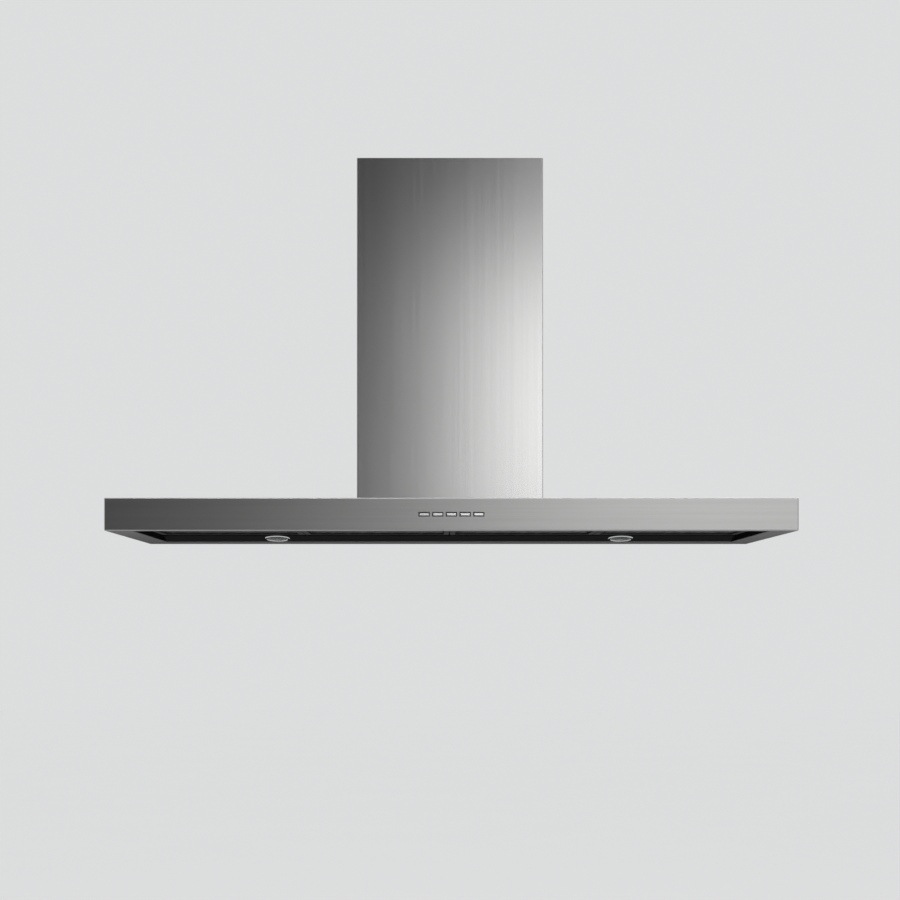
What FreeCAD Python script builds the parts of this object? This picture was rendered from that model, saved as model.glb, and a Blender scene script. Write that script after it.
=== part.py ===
import FreeCAD, Part
import math
import os
import re
import Sketcher

# Wall mount range hood: a flat box canopy that hangs on the wall, with a square chimney over it.
# Millimetres. X runs to the right, Y towards the wall, Z up.
# The origin is on the wall plane, at the middle of the canopy's lower rear edge.

SIZES = {
    # canopy
    "canopy_width": 1200, "canopy_depth": 500, "canopy_height": 57,
    "shell_gauge": 1, "bend_radius": 2,
    "front_flange": 14, "side_flange": 47, "rear_flange": 85,
    "panel_play": 0.3,
    "wall_hole_spacing": 600, "wall_hole_rise": 24, "wall_hole_radius": 4,
    "stiffener_spacing": 760, "stiffener_width": 30, "stiffener_height": 10,
    "stiffener_inset": 20,
    # filter tray, lamp strip and hinge
    "recess_depth": 11, "ledge_width": 5, "tray_foot": 7, "seat_gap": 0.3,
    "strip_run": 54.5, "strip_foot": 25, "strip_start": 10,
    "hinge_setback": 4.5, "hinge_height": 14,
    "pin_radius": 1.5, "pin_play": 0.05, "knuckle_wall": 1.5,
    "lug_gauge": 2.5, "lug_spread": 98, "ear_gap": 2, "ear_gauge": 2, "ear_rim": 1,
    "pin_overhang": 2.5,
    # grease filters
    "filter_count": 4, "filter_play": 2, "filter_thickness": 9,
    "filter_border": 10, "latch_border": 40, "filter_rear_gap": 4, "filter_front_gap": 6,
    "mesh_thickness": 3, "mesh_columns": 18, "mesh_rows": 5,
    # latch of each filter
    "latch_width": 43, "latch_mouth": 35, "latch_nose": 24, "latch_length": 26,
    "latch_rise": 2, "latch_plate": 2.6, "latch_play": 0.2, "latch_travel": 6,
    "latch_reach": 4.5, "latch_inset": 4, "keeper_gauge": 0.6, "keeper_lip": 4.5,
    "keeper_height": 9, "spring_gauge": 0.5, "spring_width": 20,
    # lamps
    "lamp_spacing": 668, "lamp_radius": 25, "lamp_rim": 1.2, "lamp_neck": 22,
    "lamp_neck_length": 5, "lamp_window": 20, "lens_thickness": 1.4,
    "lamp_can": 16, "lamp_can_length": 8,
    # controls
    "button_count": 5, "button_pitch": 23.6, "button_level": 28.5,
    "window_width": 19.5, "window_height": 8, "collar_fit": 0.1, "collar_wall": 1.4,
    "button_play": 0.3, "button_sink": 0.2, "cap_depth": 3, "cap_flange": 0.9, "flange_depth": 1,
    "stem_radius": 1.5, "stem_length": 5.2, "button_travel": 1.2,
    "fascia_gauge": 2, "fascia_width": 130, "control_gap": 0.5, "control_height": 15,
    "housing_inset": 3, "housing_depth": 21, "housing_wall": 1.5,
    "board_gauge": 1.6, "board_play": 2.5, "switch_size": 6, "switch_depth": 4, "switch_play": 0.1,
    "boss_radius": 2,
    # chimney covers
    "flue_width": 345, "flue_depth": 280, "flue_height": 645, "flue_gauge": 1,
    "flue_return": 15, "flue_play": 0.8, "upper_flue_height": 400, "flue_drop": 2,
    "stop_width": 20, "stop_height": 4,
    # chimney bracket
    "bracket_height": 30, "bracket_drop": 30, "bracket_gauge": 2, "bracket_ear": 40,
    "bracket_hole_spacing": 240, "bracket_half": 148, "bracket_play": 0.6,
    # blower box
    "box_width": 300, "box_depth": 250, "box_height": 300, "box_rear": 15,
    "box_flange_side": 12, "box_flange_end": 8, "mouth_inset": 10,
    "screw_radius": 2, "screw_play": 0.1, "screw_head": 3.4, "screw_head_height": 2.2,
    "screw_length": 8,
    # fan
    "scroll_radius": 108, "scroll_width": 130, "scroll_wall": 2, "scroll_level": 175,
    "fan_shift": 9, "fan_drop": 12, "fan_radius": 75, "fan_width": 116, "blade_depth": 13,
    "blade_gauge": 1.5, "blade_count": 36, "fan_disc": 3, "fan_ring": 2.5, "hub_radius": 13,
    "hub_length": 22, "inlet_radius": 62, "throat_width": 104, "throat_flange": 22,
    "throat_plate": 2, "gasket_height": 3, "shaft_radius": 4, "shaft_play": 0.05,
    "shaft_stub": 14, "motor_radius": 42, "motor_gap": 10, "motor_end": 26, "motor_cap": 4,
    "spider_gauge": 2, "spider_arm": 9, "spider_rim": 8, "spider_play": 0.3,
    # duct collar and dampers
    "duct_radius": 74.5, "duct_wall": 1.5, "duct_height": 60, "duct_flange": 8,
    "duct_flange_gauge": 1.5, "damper_level": 26, "damper_gauge": 1.2, "damper_play": 1,
    "damper_ledge": 2.5, "damper_pin": 2, "damper_knuckle": 3.5, "damper_gap": 0.7,
    "knuckle_length": 18, "knuckle_gap": 1,
    # electronics
    "case_width": 54, "case_depth": 190, "case_height": 48, "case_edge": 3, "case_wall": 1.5,
    "case_board": 1.6, "case_foot": 5, "capacitor_radius": 13, "capacitor_length": 60,
    "terminal_width": 20, "terminal_depth": 12, "terminal_height": 12,
    "gland_radius": 9, "gland_bore": 4.5, "gland_height": 16, "gland_nut": 3,
    # leads
    "lead_radius": 2.2, "lead_bend": 14, "lead_level": 42, "lead_inset": 8, "lead_pitch": 9,
    "lead_edge": 24, "lead_step": 24, "grommet_radius": 4,
    # one overrun for every cut
    "overrun": 5,
}

PLACES = {
    "half_width": "canopy_width / 2",
    "front": "-canopy_depth",
    "inside_front": "front + shell_gauge",
    "inside_top": "canopy_height - shell_gauge",
    "opening_x": "half_width - side_flange",
    "opening_front": "front + front_flange",
    "opening_rear": "-rear_flange",
    "strip_front": "opening_rear - strip_run",
    "strip_rise": "strip_start - shell_gauge",
    "strip_slope": "atan(strip_rise / strip_run) / 1 deg",
    "hinge_y": "strip_front - hinge_setback",
    "lug_radius": "pin_radius + knuckle_wall",
    "filter_bottom": "recess_depth",
    "filter_top": "recess_depth + filter_thickness",
    "tray_ledge": "filter_top + seat_gap",
    "tray_top": "tray_ledge + shell_gauge",
    "filter_pitch": "2 * opening_x / filter_count",
    "filter_half": "(filter_pitch - filter_play) / 2",
    "filter_front": "opening_front + filter_front_gap",
    "filter_rear": "hinge_y - filter_rear_gap",
    "mesh_front": "filter_front + latch_border",
    "mesh_rear": "filter_rear - filter_border",
    "mesh_half": "filter_half - filter_border",
    "mesh_low": "filter_bottom + (filter_thickness - mesh_thickness) / 2",
    "latch_low": "filter_bottom + latch_play",
    "latch_step": "filter_bottom + latch_rise + latch_play",
    "latch_front": "filter_front + latch_inset + seat_gap",
    "latch_rear": "latch_front + latch_length",
    "pocket_rear": "latch_rear + latch_travel + 2 * seat_gap + spring_gauge",
    "lamp_y": "(strip_front + opening_rear) / 2",
    "lamp_z": "(strip_start + shell_gauge) / 2",
    "control_bottom": "tray_top + control_gap",
    "control_top": "control_bottom + control_height",
    "fascia_back": "inside_front + fascia_gauge",
    "collar_half": "window_width / 2 - collar_fit",
    "collar_rise": "window_height / 2 - collar_fit",
    "bore_half": "collar_half - collar_wall",
    "bore_rise": "collar_rise - collar_wall",
    "cap_half": "bore_half - button_play",
    "cap_rise": "bore_rise - button_play",
    "cap_back": "front + button_sink + cap_depth",
    "stem_root": "cap_back + flange_depth",
    "stem_end": "stem_root + stem_length",
    "switch_front": "stem_end - button_travel - flange_depth",
    "board_front": "switch_front + switch_depth",
    "board_back": "board_front + board_gauge",
    "housing_half": "fascia_width / 2 - housing_inset",
    "housing_back": "fascia_back + housing_depth",
    "flue_top": "canopy_height + flue_height",
    "flue_half": "flue_width / 2",
    "upper_top": "flue_top - flue_drop",
    "upper_bottom": "upper_top - upper_flue_height",
    "upper_half": "flue_half - flue_gauge - flue_play",
    "upper_front": "-flue_depth + flue_gauge + flue_play",
    "upper_back": "-flue_gauge - flue_play",
    "bracket_top": "flue_top - bracket_drop",
    "box_front": "-box_rear - box_depth",
    "box_half": "box_width / 2",
    "box_top": "canopy_height + box_height",
    "duct_y": "-box_rear - box_depth / 2",
    "scroll_half": "scroll_width / 2",
    "scroll_y": "duct_y + fan_shift",
    "fan_y": "duct_y",
    "fan_z": "scroll_level - fan_drop",
    "throat_top": "box_top - shell_gauge - gasket_height",
    "damper_z": "box_top + damper_level",
    "duct_bore": "duct_radius - duct_wall",
    "case_left": "box_half - case_edge - case_width",
    "case_right": "box_half - case_edge",
    "case_front": "duct_y - case_depth / 2",
    "case_rear": "duct_y + case_depth / 2",
    "case_top": "box_top + case_height",
    "case_mid": "(case_left + case_right) / 2",
    "board_top": "box_top + case_wall + case_foot + case_board",
    "terminal_mid": "board_top + terminal_height / 2",
    "lead_x": "case_left + lead_inset",
    "lead_y": "case_front + lead_edge",
    "motor_lead_x": "lead_x + lead_pitch",
    "motor_lead_y": "lead_y + lead_step",
    "control_y": "(fascia_back + housing_back) / 2",
    "control_mid": "(control_bottom + control_top) / 2",
}

doc = FreeCAD.newDocument("range_hood")
sheet = doc.addObject("Spreadsheet::Sheet", "Sizes")
for row, (word, number) in enumerate(SIZES.items(), start=1):
    sheet.set(f"A{row}", word)
    sheet.set(f"B{row}", str(number))
    sheet.setAlias(f"B{row}", word)
doc.recompute()
places = doc.addObject("App::VarSet", "Places")


def full(text):
    """The expression with each size named in its sheet and each place in its set."""
    def owner(found):
        word = found.group(0)
        if word in SIZES:
            return "Sizes." + word
        return "Places." + word if word in PLACES else word
    return re.sub(r"[a-z][a-z_]*[a-z]", owner, str(text))


def bind(thing, path, text):
    """Tie one property of an object to the sheet."""
    thing.setExpression(path, full(text))


def value(text):
    """The number that an expression gives now, for shapes that are worked out here."""
    return float(sheet.evalExpression(full(text)))


for word, text in PLACES.items():
    places.addProperty("App::PropertyFloat", word, "Places")
    bind(places, word, text)
doc.recompute()

TURNS = {
    "x": FreeCAD.Rotation(FreeCAD.Vector(0, 1, 0), 90),
    "y": FreeCAD.Rotation(FreeCAD.Vector(1, 0, 0), -90),
    "z": FreeCAD.Rotation(),
}
pieces = []


def piece(thing, label):
    """Name a finished sub-part and keep it for the export."""
    thing.Label = label
    pieces.append(thing)
    return thing


def block(x, y, z):
    """A box between two places along each axis."""
    solid = doc.addObject("Part::Box", "Block")
    for size, axis, (low, high) in zip(("Length", "Width", "Height"), "xyz", (x, y, z)):
        bind(solid, size, f"({high}) - ({low})")
        bind(solid, f"Placement.Base.{axis}", low)
    return solid


def rod(axis, radius, ends, across):
    """A round bar along one axis, between two places; across gives its other two places."""
    solid = doc.addObject("Part::Cylinder", "Rod")
    bind(solid, "Radius", radius)
    bind(solid, "Height", f"({ends[1]}) - ({ends[0]})")
    solid.Placement = FreeCAD.Placement(FreeCAD.Vector(), TURNS[axis])
    others = iter(across)
    for name in "xyz":
        bind(solid, f"Placement.Base.{name}", ends[0] if name == axis else next(others))
    return solid


def fuse(*solids):
    """One solid of several that overlap or touch."""
    joined = doc.addObject("Part::MultiFuse", "Fused")
    joined.Shapes = list(solids)
    return joined


def cut(base, *tools):
    """What is left of a solid once the tools are taken away."""
    left = doc.addObject("Part::Cut", "Cut")
    left.Base = base
    left.Tool = tools[0] if len(tools) == 1 else fuse(*tools)
    return left


def common(*solids):
    """The space that all the solids share."""
    shared = doc.addObject("Part::MultiCommon", "Shared")
    shared.Shapes = list(solids)
    return shared


def group(*solids):
    """Separate solids of one kind that share a node."""
    held = doc.addObject("Part::Compound", "Group")
    held.Links = list(solids)
    return held


def mid(half):
    """Both ends of a stretch centred on zero."""
    return (f"-({half})", f"{half}")


def origin(body, role):
    """One of a body's own origin planes or axes."""
    return next(part for part in body.Origin.OriginFeatures if part.Role == role)


def body_at(x="0", y="0", z="0"):
    """An empty body whose local origin stands at the given place."""
    body = doc.addObject("PartDesign::Body", "Body")
    for axis, text in zip("xyz", (x, y, z)):
        bind(body, f"Placement.Base.{axis}", text)
    return body


def sketch(body, plane, start, loops=(), circles=()):
    """A sketch of closed polygons and circles, each point held by its two distances."""
    drawn = body.newObject("Sketcher::SketchObject", "Sketch")
    drawn.AttachmentSupport = [(origin(body, plane), "")]
    drawn.MapMode = "FlatFace"
    bind(drawn, "AttachmentOffset.Base.z", start)
    for loop in loops:
        first = drawn.GeometryCount
        count = len(loop)
        spots = [FreeCAD.Vector(value(across), value(up), 0) for across, up in loop]
        for number in range(count):
            edge = Part.LineSegment(spots[number], spots[(number + 1) % count])
            drawn.addGeometry(edge, False)
        for number in range(count):
            after = first + (number + 1) % count
            drawn.addConstraint(Sketcher.Constraint("Coincident", first + number, 2, after, 1))
        for number, (across, up) in enumerate(loop):
            hold(drawn, first + number, 1, across, up)
    for radius, across, up in circles:
        centre = FreeCAD.Vector(value(across), value(up), 0)
        drawn.addGeometry(Part.Circle(centre, FreeCAD.Vector(0, 0, 1), value(radius)), False)
        number = drawn.GeometryCount - 1
        rule = drawn.addConstraint(Sketcher.Constraint("Radius", number, value(radius)))
        bind(drawn, f"Constraints[{rule}]", radius)
        hold(drawn, number, 3, across, up)
    return drawn


def hold(drawn, number, end, across, up):
    """Fix one point of a sketch by its distances from the sketch's origin."""
    for kind, text in (("DistanceX", across), ("DistanceY", up)):
        rule = drawn.addConstraint(Sketcher.Constraint(kind, -1, 1, number, end, value(text)))
        bind(drawn, f"Constraints[{rule}]", text)


def rectangle(across, up):
    """The four corners of a rectangle between two places each way."""
    return [(across[0], up[0]), (across[1], up[0]), (across[1], up[1]), (across[0], up[1])]


def pad(body, drawn, length):
    """Raise a sketch into a solid, away from its plane."""
    feature = body.newObject("PartDesign::Pad", "Pad")
    feature.Profile = drawn
    bind(feature, "Length", length)
    doc.recompute()
    return feature


def pocket(body, drawn, length):
    """Take away what a pad of the same sketch and length would fill."""
    before = body.Shape.Volume
    feature = body.newObject("PartDesign::Pocket", "Pocket")
    feature.Profile = drawn
    bind(feature, "Length", length)
    feature.Reversed = True
    doc.recompute()
    if not body.Shape.Volume < before:
        raise RuntimeError(f"a pocket in {body.Label} took nothing away")
    return feature


def fillet(body, radius, chosen):
    """Round the edges of a body that a test picks by their middle points."""
    base = body.Tip
    names = []
    for number, edge in enumerate(base.Shape.Edges, start=1):
        box = edge.BoundBox
        if chosen(box):
            names.append(f"Edge{number}")
    feature = body.newObject("PartDesign::Fillet", "Fillet")
    feature.Base = (base, names)
    bind(feature, "Radius", radius)
    doc.recompute()
    return feature


def revolve(body, drawn):
    """Turn a sketch on the XZ plane once about the body's own Z axis."""
    feature = body.newObject("PartDesign::Revolution", "Revolution")
    feature.Profile = drawn
    feature.ReferenceAxis = (origin(body, "Z_Axis"), [""])
    feature.Angle = 360
    doc.recompute()
    return feature


def screw(x, y, seat):
    """A pan head screw that points down, its head on the place given by seat."""
    shank = rod("z", "screw_radius", (f"{seat} - screw_length", seat), (x, y))
    head = rod("z", "screw_head", (seat, f"{seat} + screw_head_height"), (x, y))
    return fuse(shank, head)


def screw_hole(x, y, low, high):
    """The clearance hole of such a screw."""
    ends = (f"{low} - overrun", f"{high} + overrun")
    return rod("z", "screw_radius + screw_play", ends, (x, y))


def box_corners():
    """Where the four screws of the blower box's foot stand."""
    side = "box_half + box_flange_side / 2"
    for x in (f"-({side})", side):
        for y in ("box_front - box_flange_end / 2", "-box_rear + box_flange_end / 2"):
            yield x, y


def throat_corners():
    """Where the four screws that hang the fan casing stand."""
    side = "scroll_half + throat_flange / 2"
    reach = "throat_width / 2 - 2 * screw_head"
    for x in (f"-({side})", side):
        for y in (f"duct_y - ({reach})", f"duct_y + {reach}"):
            yield x, y


def lead_holes():
    """The holes that let the control lead and the motor lead into the electronics case."""
    ends = ("box_top - overrun", "box_top + overrun")
    return [
        rod("z", "grommet_radius", ends, ("lead_x", "lead_y")),
        rod("z", "grommet_radius", ends, ("motor_lead_x", "motor_lead_y")),
    ]


def button_x(number):
    """The centre of a button, counted from the left."""
    return f"({number} - (button_count - 1) / 2) * button_pitch"


def filter_x(number):
    """The centre of a filter, counted from the left."""
    return f"({number} - (filter_count - 1) / 2) * filter_pitch"


# The canopy's outer shell: one folded sheet, closed at the front, top, sides and lower flanges
def canopy_shell():
    body = body_at()
    outer = sketch(body, "XY_Plane", "0", [rectangle(mid("half_width"), ("front", "0"))])
    pad(body, outer, "canopy_height")
    fillet(body, "bend_radius", lambda box: box.YMin < 0)
    back = next(
        f"Face{number}" for number, face in enumerate(body.Tip.Shape.Faces, start=1)
        if abs(face.BoundBox.YMin) < value("seat_gap")
    )
    base = body.Tip
    skin = body.newObject("PartDesign::Thickness", "Skin")
    skin.Base = (base, [back])
    bind(skin, "Value", "shell_gauge")
    skin.Reversed = True
    doc.recompute()
    opening = rectangle(mid("opening_x"), ("opening_front", "opening_rear"))
    pocket(body, sketch(body, "XY_Plane", "-overrun", [opening]), "overrun + shell_gauge * 2")
    mouth_x = mid("box_half - mouth_inset")
    mouth_y = ("box_front + mouth_inset", "-box_rear - mouth_inset")
    mouth = rectangle(mouth_x, mouth_y)
    holes = [("screw_radius + screw_play", x, y) for x, y in box_corners()]
    upper = sketch(body, "XY_Plane", "inside_top - overrun", [mouth], holes)
    pocket(body, upper, "2 * overrun + shell_gauge")
    windows = []
    for number in range(SIZES["button_count"]):
        centre = button_x(number)
        ends = (f"{centre} - window_width / 2", f"{centre} + window_width / 2")
        rise = ("button_level - window_height / 2", "button_level + window_height / 2")
        windows.append(rectangle(ends, rise))
    face = sketch(body, "XZ_Plane", "canopy_depth - shell_gauge * 2", windows)
    pocket(body, face, "shell_gauge * 2 + overrun")
    return piece(body, "canopy_shell")


# The rear panel that closes the canopy against the wall, with its four wall screw holes
def canopy_back_panel():
    body = body_at()
    across = mid("half_width - shell_gauge - panel_play")
    rise = ("shell_gauge + panel_play", "inside_top - panel_play")
    holes = []
    for side in (-1, 1):
        for step in (-1, 1):
            level = f"canopy_height / 2 + {step} * wall_hole_rise / 2"
            holes.append(("wall_hole_radius", f"{side} * wall_hole_spacing / 2", level))
    pad(body, sketch(body, "XZ_Plane", "0", [rectangle(across, rise)], holes), "shell_gauge")
    return piece(body, "canopy_back_panel")


# Two channels spot welded under the canopy top, which keep the wide panel flat
def top_stiffeners():
    channels = []
    for side in (-1, 1):
        centre = f"{side} * stiffener_spacing / 2"
        half = "stiffener_width / 2"
        depth = ("front + stiffener_inset", "-stiffener_inset")
        low = "inside_top - stiffener_height"
        outer = block((f"{centre} - {half}", f"{centre} + {half}"), depth, (low, "inside_top"))
        inner = block(
            (f"{centre} - {half} + shell_gauge", f"{centre} + {half} - shell_gauge"),
            (f"{depth[0]} - overrun", f"{depth[1]} + overrun"),
            (f"{low} + shell_gauge", "inside_top + overrun"),
        )
        channels.append(cut(outer, inner))
    return piece(group(*channels), "top_stiffeners")


# The black tray walls round the filters, with a ledge over their side edges and a welded foot
def filter_tray():
    wall_x = "opening_x + shell_gauge"
    wall_front = "opening_front - shell_gauge"
    walls = block(mid(wall_x), (wall_front, "opening_rear"), ("shell_gauge", "tray_top"))
    foot = block(
        mid(f"{wall_x} + tray_foot"), (f"{wall_front} - tray_foot", "opening_rear"),
        ("shell_gauge", "2 * shell_gauge"),
    )
    well = block(
        mid("opening_x"), ("opening_front", "opening_rear + overrun"), ("0", "tray_ledge"),
    )
    upper = block(
        mid("opening_x - ledge_width"), ("opening_front", "opening_rear + overrun"),
        ("0", "tray_top + overrun"),
    )
    return piece(cut(fuse(walls, foot), well, upper), "filter_tray")


def tilted_bore(side, radius):
    """A round tool square to the sloping lamp strip, at one lamp."""
    tool = doc.addObject("Part::Cylinder", "Bore")
    bind(tool, "Radius", radius)
    bind(tool, "Height", "4 * overrun")
    tool.Placement.Rotation = FreeCAD.Rotation(FreeCAD.Vector(-1, 0, 0), 1)
    bind(tool, "Placement.Rotation.Angle", "strip_slope")
    bind(tool, "Placement.Base.x", f"{side} * lamp_spacing / 2")
    bind(tool, "Placement.Base.y", "lamp_y - 2 * overrun * sin(strip_slope * 1 deg)")
    bind(tool, "Placement.Base.z", "lamp_z - 2 * overrun * cos(strip_slope * 1 deg)")
    return tool


# The sloping black strip behind the filters: it carries the lamps and the filters' hinge lugs
def lamp_panel():
    body = body_at()
    profile = [
        ("strip_front", "tray_ledge"),
        ("strip_front", "strip_start"),
        ("opening_rear", "shell_gauge"),
        ("opening_rear + strip_foot", "shell_gauge"),
        ("opening_rear + strip_foot", "2 * shell_gauge"),
        ("opening_rear", "2 * shell_gauge"),
        ("strip_front + shell_gauge",
         "strip_start + shell_gauge - shell_gauge * strip_rise / strip_run"),
        ("strip_front + shell_gauge", "tray_ledge"),
    ]
    pad(body, sketch(body, "YZ_Plane", "-opening_x", [profile]), "2 * opening_x")
    lugs = []
    bores = []
    for number in range(SIZES["filter_count"]):
        for side in (-1, 1):
            low = f"{filter_x(number)} + {side} * (lug_spread + lug_gauge / 2) - lug_gauge / 2"
            ends = (low, f"{low} + lug_gauge")
            lugs.append(block(
                ends, ("hinge_y", "strip_front + shell_gauge / 2"),
                ("hinge_height - lug_radius", "hinge_height + lug_radius"),
            ))
            lugs.append(rod("x", "lug_radius", ends, ("hinge_y", "hinge_height")))
            bores.append(rod(
                "x", "pin_radius + pin_play", (f"{low} - overrun", f"{low} + lug_gauge + overrun"),
                ("hinge_y", "hinge_height"),
            ))
    lamp_holes = [tilted_bore(side, "lamp_neck") for side in (-1, 1)]
    return piece(cut(fuse(body, *lugs), *bores, *lamp_holes), "lamp_panel")


def lamp_body(side, profile, label):
    """A round lamp piece, turned about the axis that stands square to the strip."""
    body = body_at(f"{side} * lamp_spacing / 2", "lamp_y", "lamp_z")
    body.Placement.Rotation = FreeCAD.Rotation(FreeCAD.Vector(-1, 0, 0), 1)
    bind(body, "Placement.Rotation.Angle", "strip_slope")
    revolve(body, sketch(body, "XZ_Plane", "0", [profile]))
    return piece(body, label)


# Each lamp: a chromed bezel clipped in the strip, a frosted lens in it and the lamp can over it
def lamp(side, word):
    rim = [
        ("lamp_window", "-lamp_rim"), ("lamp_radius", "-lamp_rim"), ("lamp_radius", "0"),
        ("lamp_neck", "0"), ("lamp_neck", "lamp_neck_length"), ("lamp_window", "lamp_neck_length"),
    ]
    lamp_body(side, rim, f"lamp_bezel_{word}")
    low = "-lens_thickness / 2"
    high = "lens_thickness / 2"
    lens = [("0", low), ("lamp_window", low), ("lamp_window", high), ("0", high)]
    lamp_body(side, lens, f"lamp_lens_{word}")
    top = "lamp_neck_length + lamp_can_length"
    can = [
        ("0", high), ("lamp_window", high), ("lamp_window", "lamp_neck_length"),
        ("lamp_can", "lamp_neck_length"), ("lamp_can", top), ("0", top),
    ]
    lamp_body(side, can, f"lamp_can_{word}")


# The dark fascia behind the front panel, whose five collars fill the panel's windows
def button_fascia():
    plate = block(mid("fascia_width / 2"), ("inside_front", "fascia_back"),
                  ("control_bottom", "control_top"))
    collars = []
    bores = []
    for number in range(SIZES["button_count"]):
        centre = button_x(number)
        collars.append(block(
            (f"{centre} - collar_half", f"{centre} + collar_half"), ("front", "fascia_back"),
            ("button_level - collar_rise", "button_level + collar_rise"),
        ))
        bores.append(block(
            (f"{centre} - bore_half", f"{centre} + bore_half"),
            ("front - overrun", "fascia_back + overrun"),
            ("button_level - bore_rise", "button_level + bore_rise"),
        ))
    return piece(cut(fuse(plate, *collars), *bores), "button_fascia")


# The control housing: a plastic box open at the front, with two bosses that carry the board
def control_housing():
    rise = ("control_bottom", "control_top")
    outer = block(mid("housing_half"), ("fascia_back", "housing_back"), rise)
    inner = block(
        mid("housing_half - housing_wall"),
        ("fascia_back - overrun", "housing_back - housing_wall"),
        ("control_bottom + housing_wall", "control_top - housing_wall"),
    )
    bosses = [
        rod("y", "boss_radius", ("board_back", "housing_back - housing_wall / 2"),
            (f"{side} * (housing_half - 3 * housing_wall - boss_radius)",
             "(control_bottom + control_top) / 2"))
        for side in (-1, 1)
    ]
    return piece(fuse(cut(outer, inner), *bosses), "control_housing")


# The control board with five bored switches, one behind each button
def control_board():
    board = block(
        mid("housing_half - housing_wall - board_play"), ("board_front", "board_back"),
        ("control_bottom + 2 * housing_wall", "control_top - 2 * housing_wall"),
    )
    switches = []
    bores = []
    for number in range(SIZES["button_count"]):
        centre = button_x(number)
        switches.append(block(
            (f"{centre} - switch_size / 2", f"{centre} + switch_size / 2"),
            ("switch_front", "board_front"),
            ("button_level - switch_size / 2", "button_level + switch_size / 2"),
        ))
        bores.append(rod("y", "stem_radius + switch_play", ("switch_front - overrun", "board_front"),
                         (centre, "button_level")))
    return piece(fuse(cut(fuse(*switches), *bores), board), "control_board")


# One push button: a cap, the flange that keeps it in and the stem that works its switch
def button(number):
    centre = button_x(number)

    def slab(half, rise, depth):
        ends = (f"{centre} - ({half})", f"{centre} + {half}")
        return block(ends, depth, (f"button_level - ({rise})", f"button_level + {rise}"))

    cap = slab("cap_half", "cap_rise", ("front + button_sink", "cap_back"))
    flange = slab("cap_half + cap_flange", "cap_rise + cap_flange", ("cap_back", "stem_root"))
    stem = rod("y", "stem_radius", ("stem_root", "stem_end"), (centre, "button_level"))
    return piece(fuse(cap, flange, stem), f"button_{number + 1}")


# A filter's frame: a flat tray border with a pocket for the latch and two pinned hinge ears
def filter_frame(number):
    body = body_at()
    depth = ("filter_front", "filter_rear")
    low = "filter_bottom"
    pad(body, sketch(body, "XY_Plane", low, [rectangle(mid("filter_half"), depth)]),
        "filter_thickness")
    window = rectangle(mid("mesh_half"), ("mesh_front", "mesh_rear"))
    pocket(body, sketch(body, "XY_Plane", f"{low} - overrun", [window]),
           "filter_thickness + 2 * overrun")
    back = "pocket_rear"
    groove_half = "latch_width / 2 + latch_play"
    groove = rectangle(mid(groove_half), ("filter_front + latch_inset", back))
    rise = "latch_plate + 2 * latch_play"
    pocket(body, sketch(body, "XY_Plane", "latch_step - latch_play", [groove]), rise)
    slot = rectangle(mid("latch_nose / 2 + latch_play"),
                     ("filter_front - overrun", "filter_front + 2 * latch_inset"))
    pocket(body, sketch(body, "XY_Plane", "latch_step - latch_play", [slot]), rise)
    mouth_y = ("latch_front - seat_gap", "latch_rear + latch_travel + seat_gap")
    mouth = rectangle(mid("latch_mouth / 2 + latch_play"), mouth_y)
    pocket(body, sketch(body, "XY_Plane", f"{low} - overrun", [mouth]),
           "overrun + latch_rise + latch_plate / 2")
    ears = []
    for side in (-1, 1):
        inner = f"{side} * (lug_spread - ear_gap - ear_gauge / 2) - ear_gauge / 2"
        ends = (inner, f"{inner} + ear_gauge")
        ears.append(block(
            ends, (f"{depth[1]} - ear_gauge", "hinge_y"),
            ("hinge_height - pin_radius - ear_rim", "hinge_height + pin_radius + ear_rim"),
        ))
        ears.append(rod("x", "pin_radius + ear_rim", ends, ("hinge_y", "hinge_height")))
        reach = "lug_spread + lug_gauge + pin_overhang"
        root = "lug_spread - ear_gap - ear_gauge"
        pin_ends = (root, reach) if side > 0 else (f"-({reach})", f"-({root})")
        ears.append(rod("x", "pin_radius", pin_ends, ("hinge_y", "hinge_height")))
    frame = fuse(body, *ears)
    bind(frame, "Placement.Base.x", filter_x(number))
    return piece(frame, f"filter_{number + 1}_frame")


# The grease mesh that fills the frame's window, with rows of long openings
def filter_mesh(number):
    body = body_at(filter_x(number))
    window = rectangle(mid("mesh_half"), ("mesh_front", "mesh_rear"))
    pad(body, sketch(body, "XY_Plane", "mesh_low", [window]), "mesh_thickness")
    step_x = "2 * mesh_half / mesh_columns"
    step_y = "(mesh_rear - mesh_front) / mesh_rows"
    slots = []
    for line in range(SIZES["mesh_rows"]):
        left = f"-mesh_half + {step_x} / 4"
        near = f"mesh_front + {step_y} * ({line} + 1 / 8)"
        slots.append(rectangle((left, f"{left} + {step_x} / 2"), (near, f"{near} + {step_y} * 3 / 4")))
    first = pocket(body, sketch(body, "XY_Plane", "mesh_low - overrun", slots),
                   "mesh_thickness + 2 * overrun")
    rows = body.newObject("PartDesign::LinearPattern", "Rows")
    rows.Originals = [first]
    rows.Direction = (origin(body, "X_Axis"), [""])
    bind(rows, "Length", f"{step_x} * (mesh_columns - 1)")
    bind(rows, "Occurrences", "mesh_columns")
    body.Tip = rows
    doc.recompute()
    return piece(body, f"filter_{number + 1}_mesh")


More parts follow.
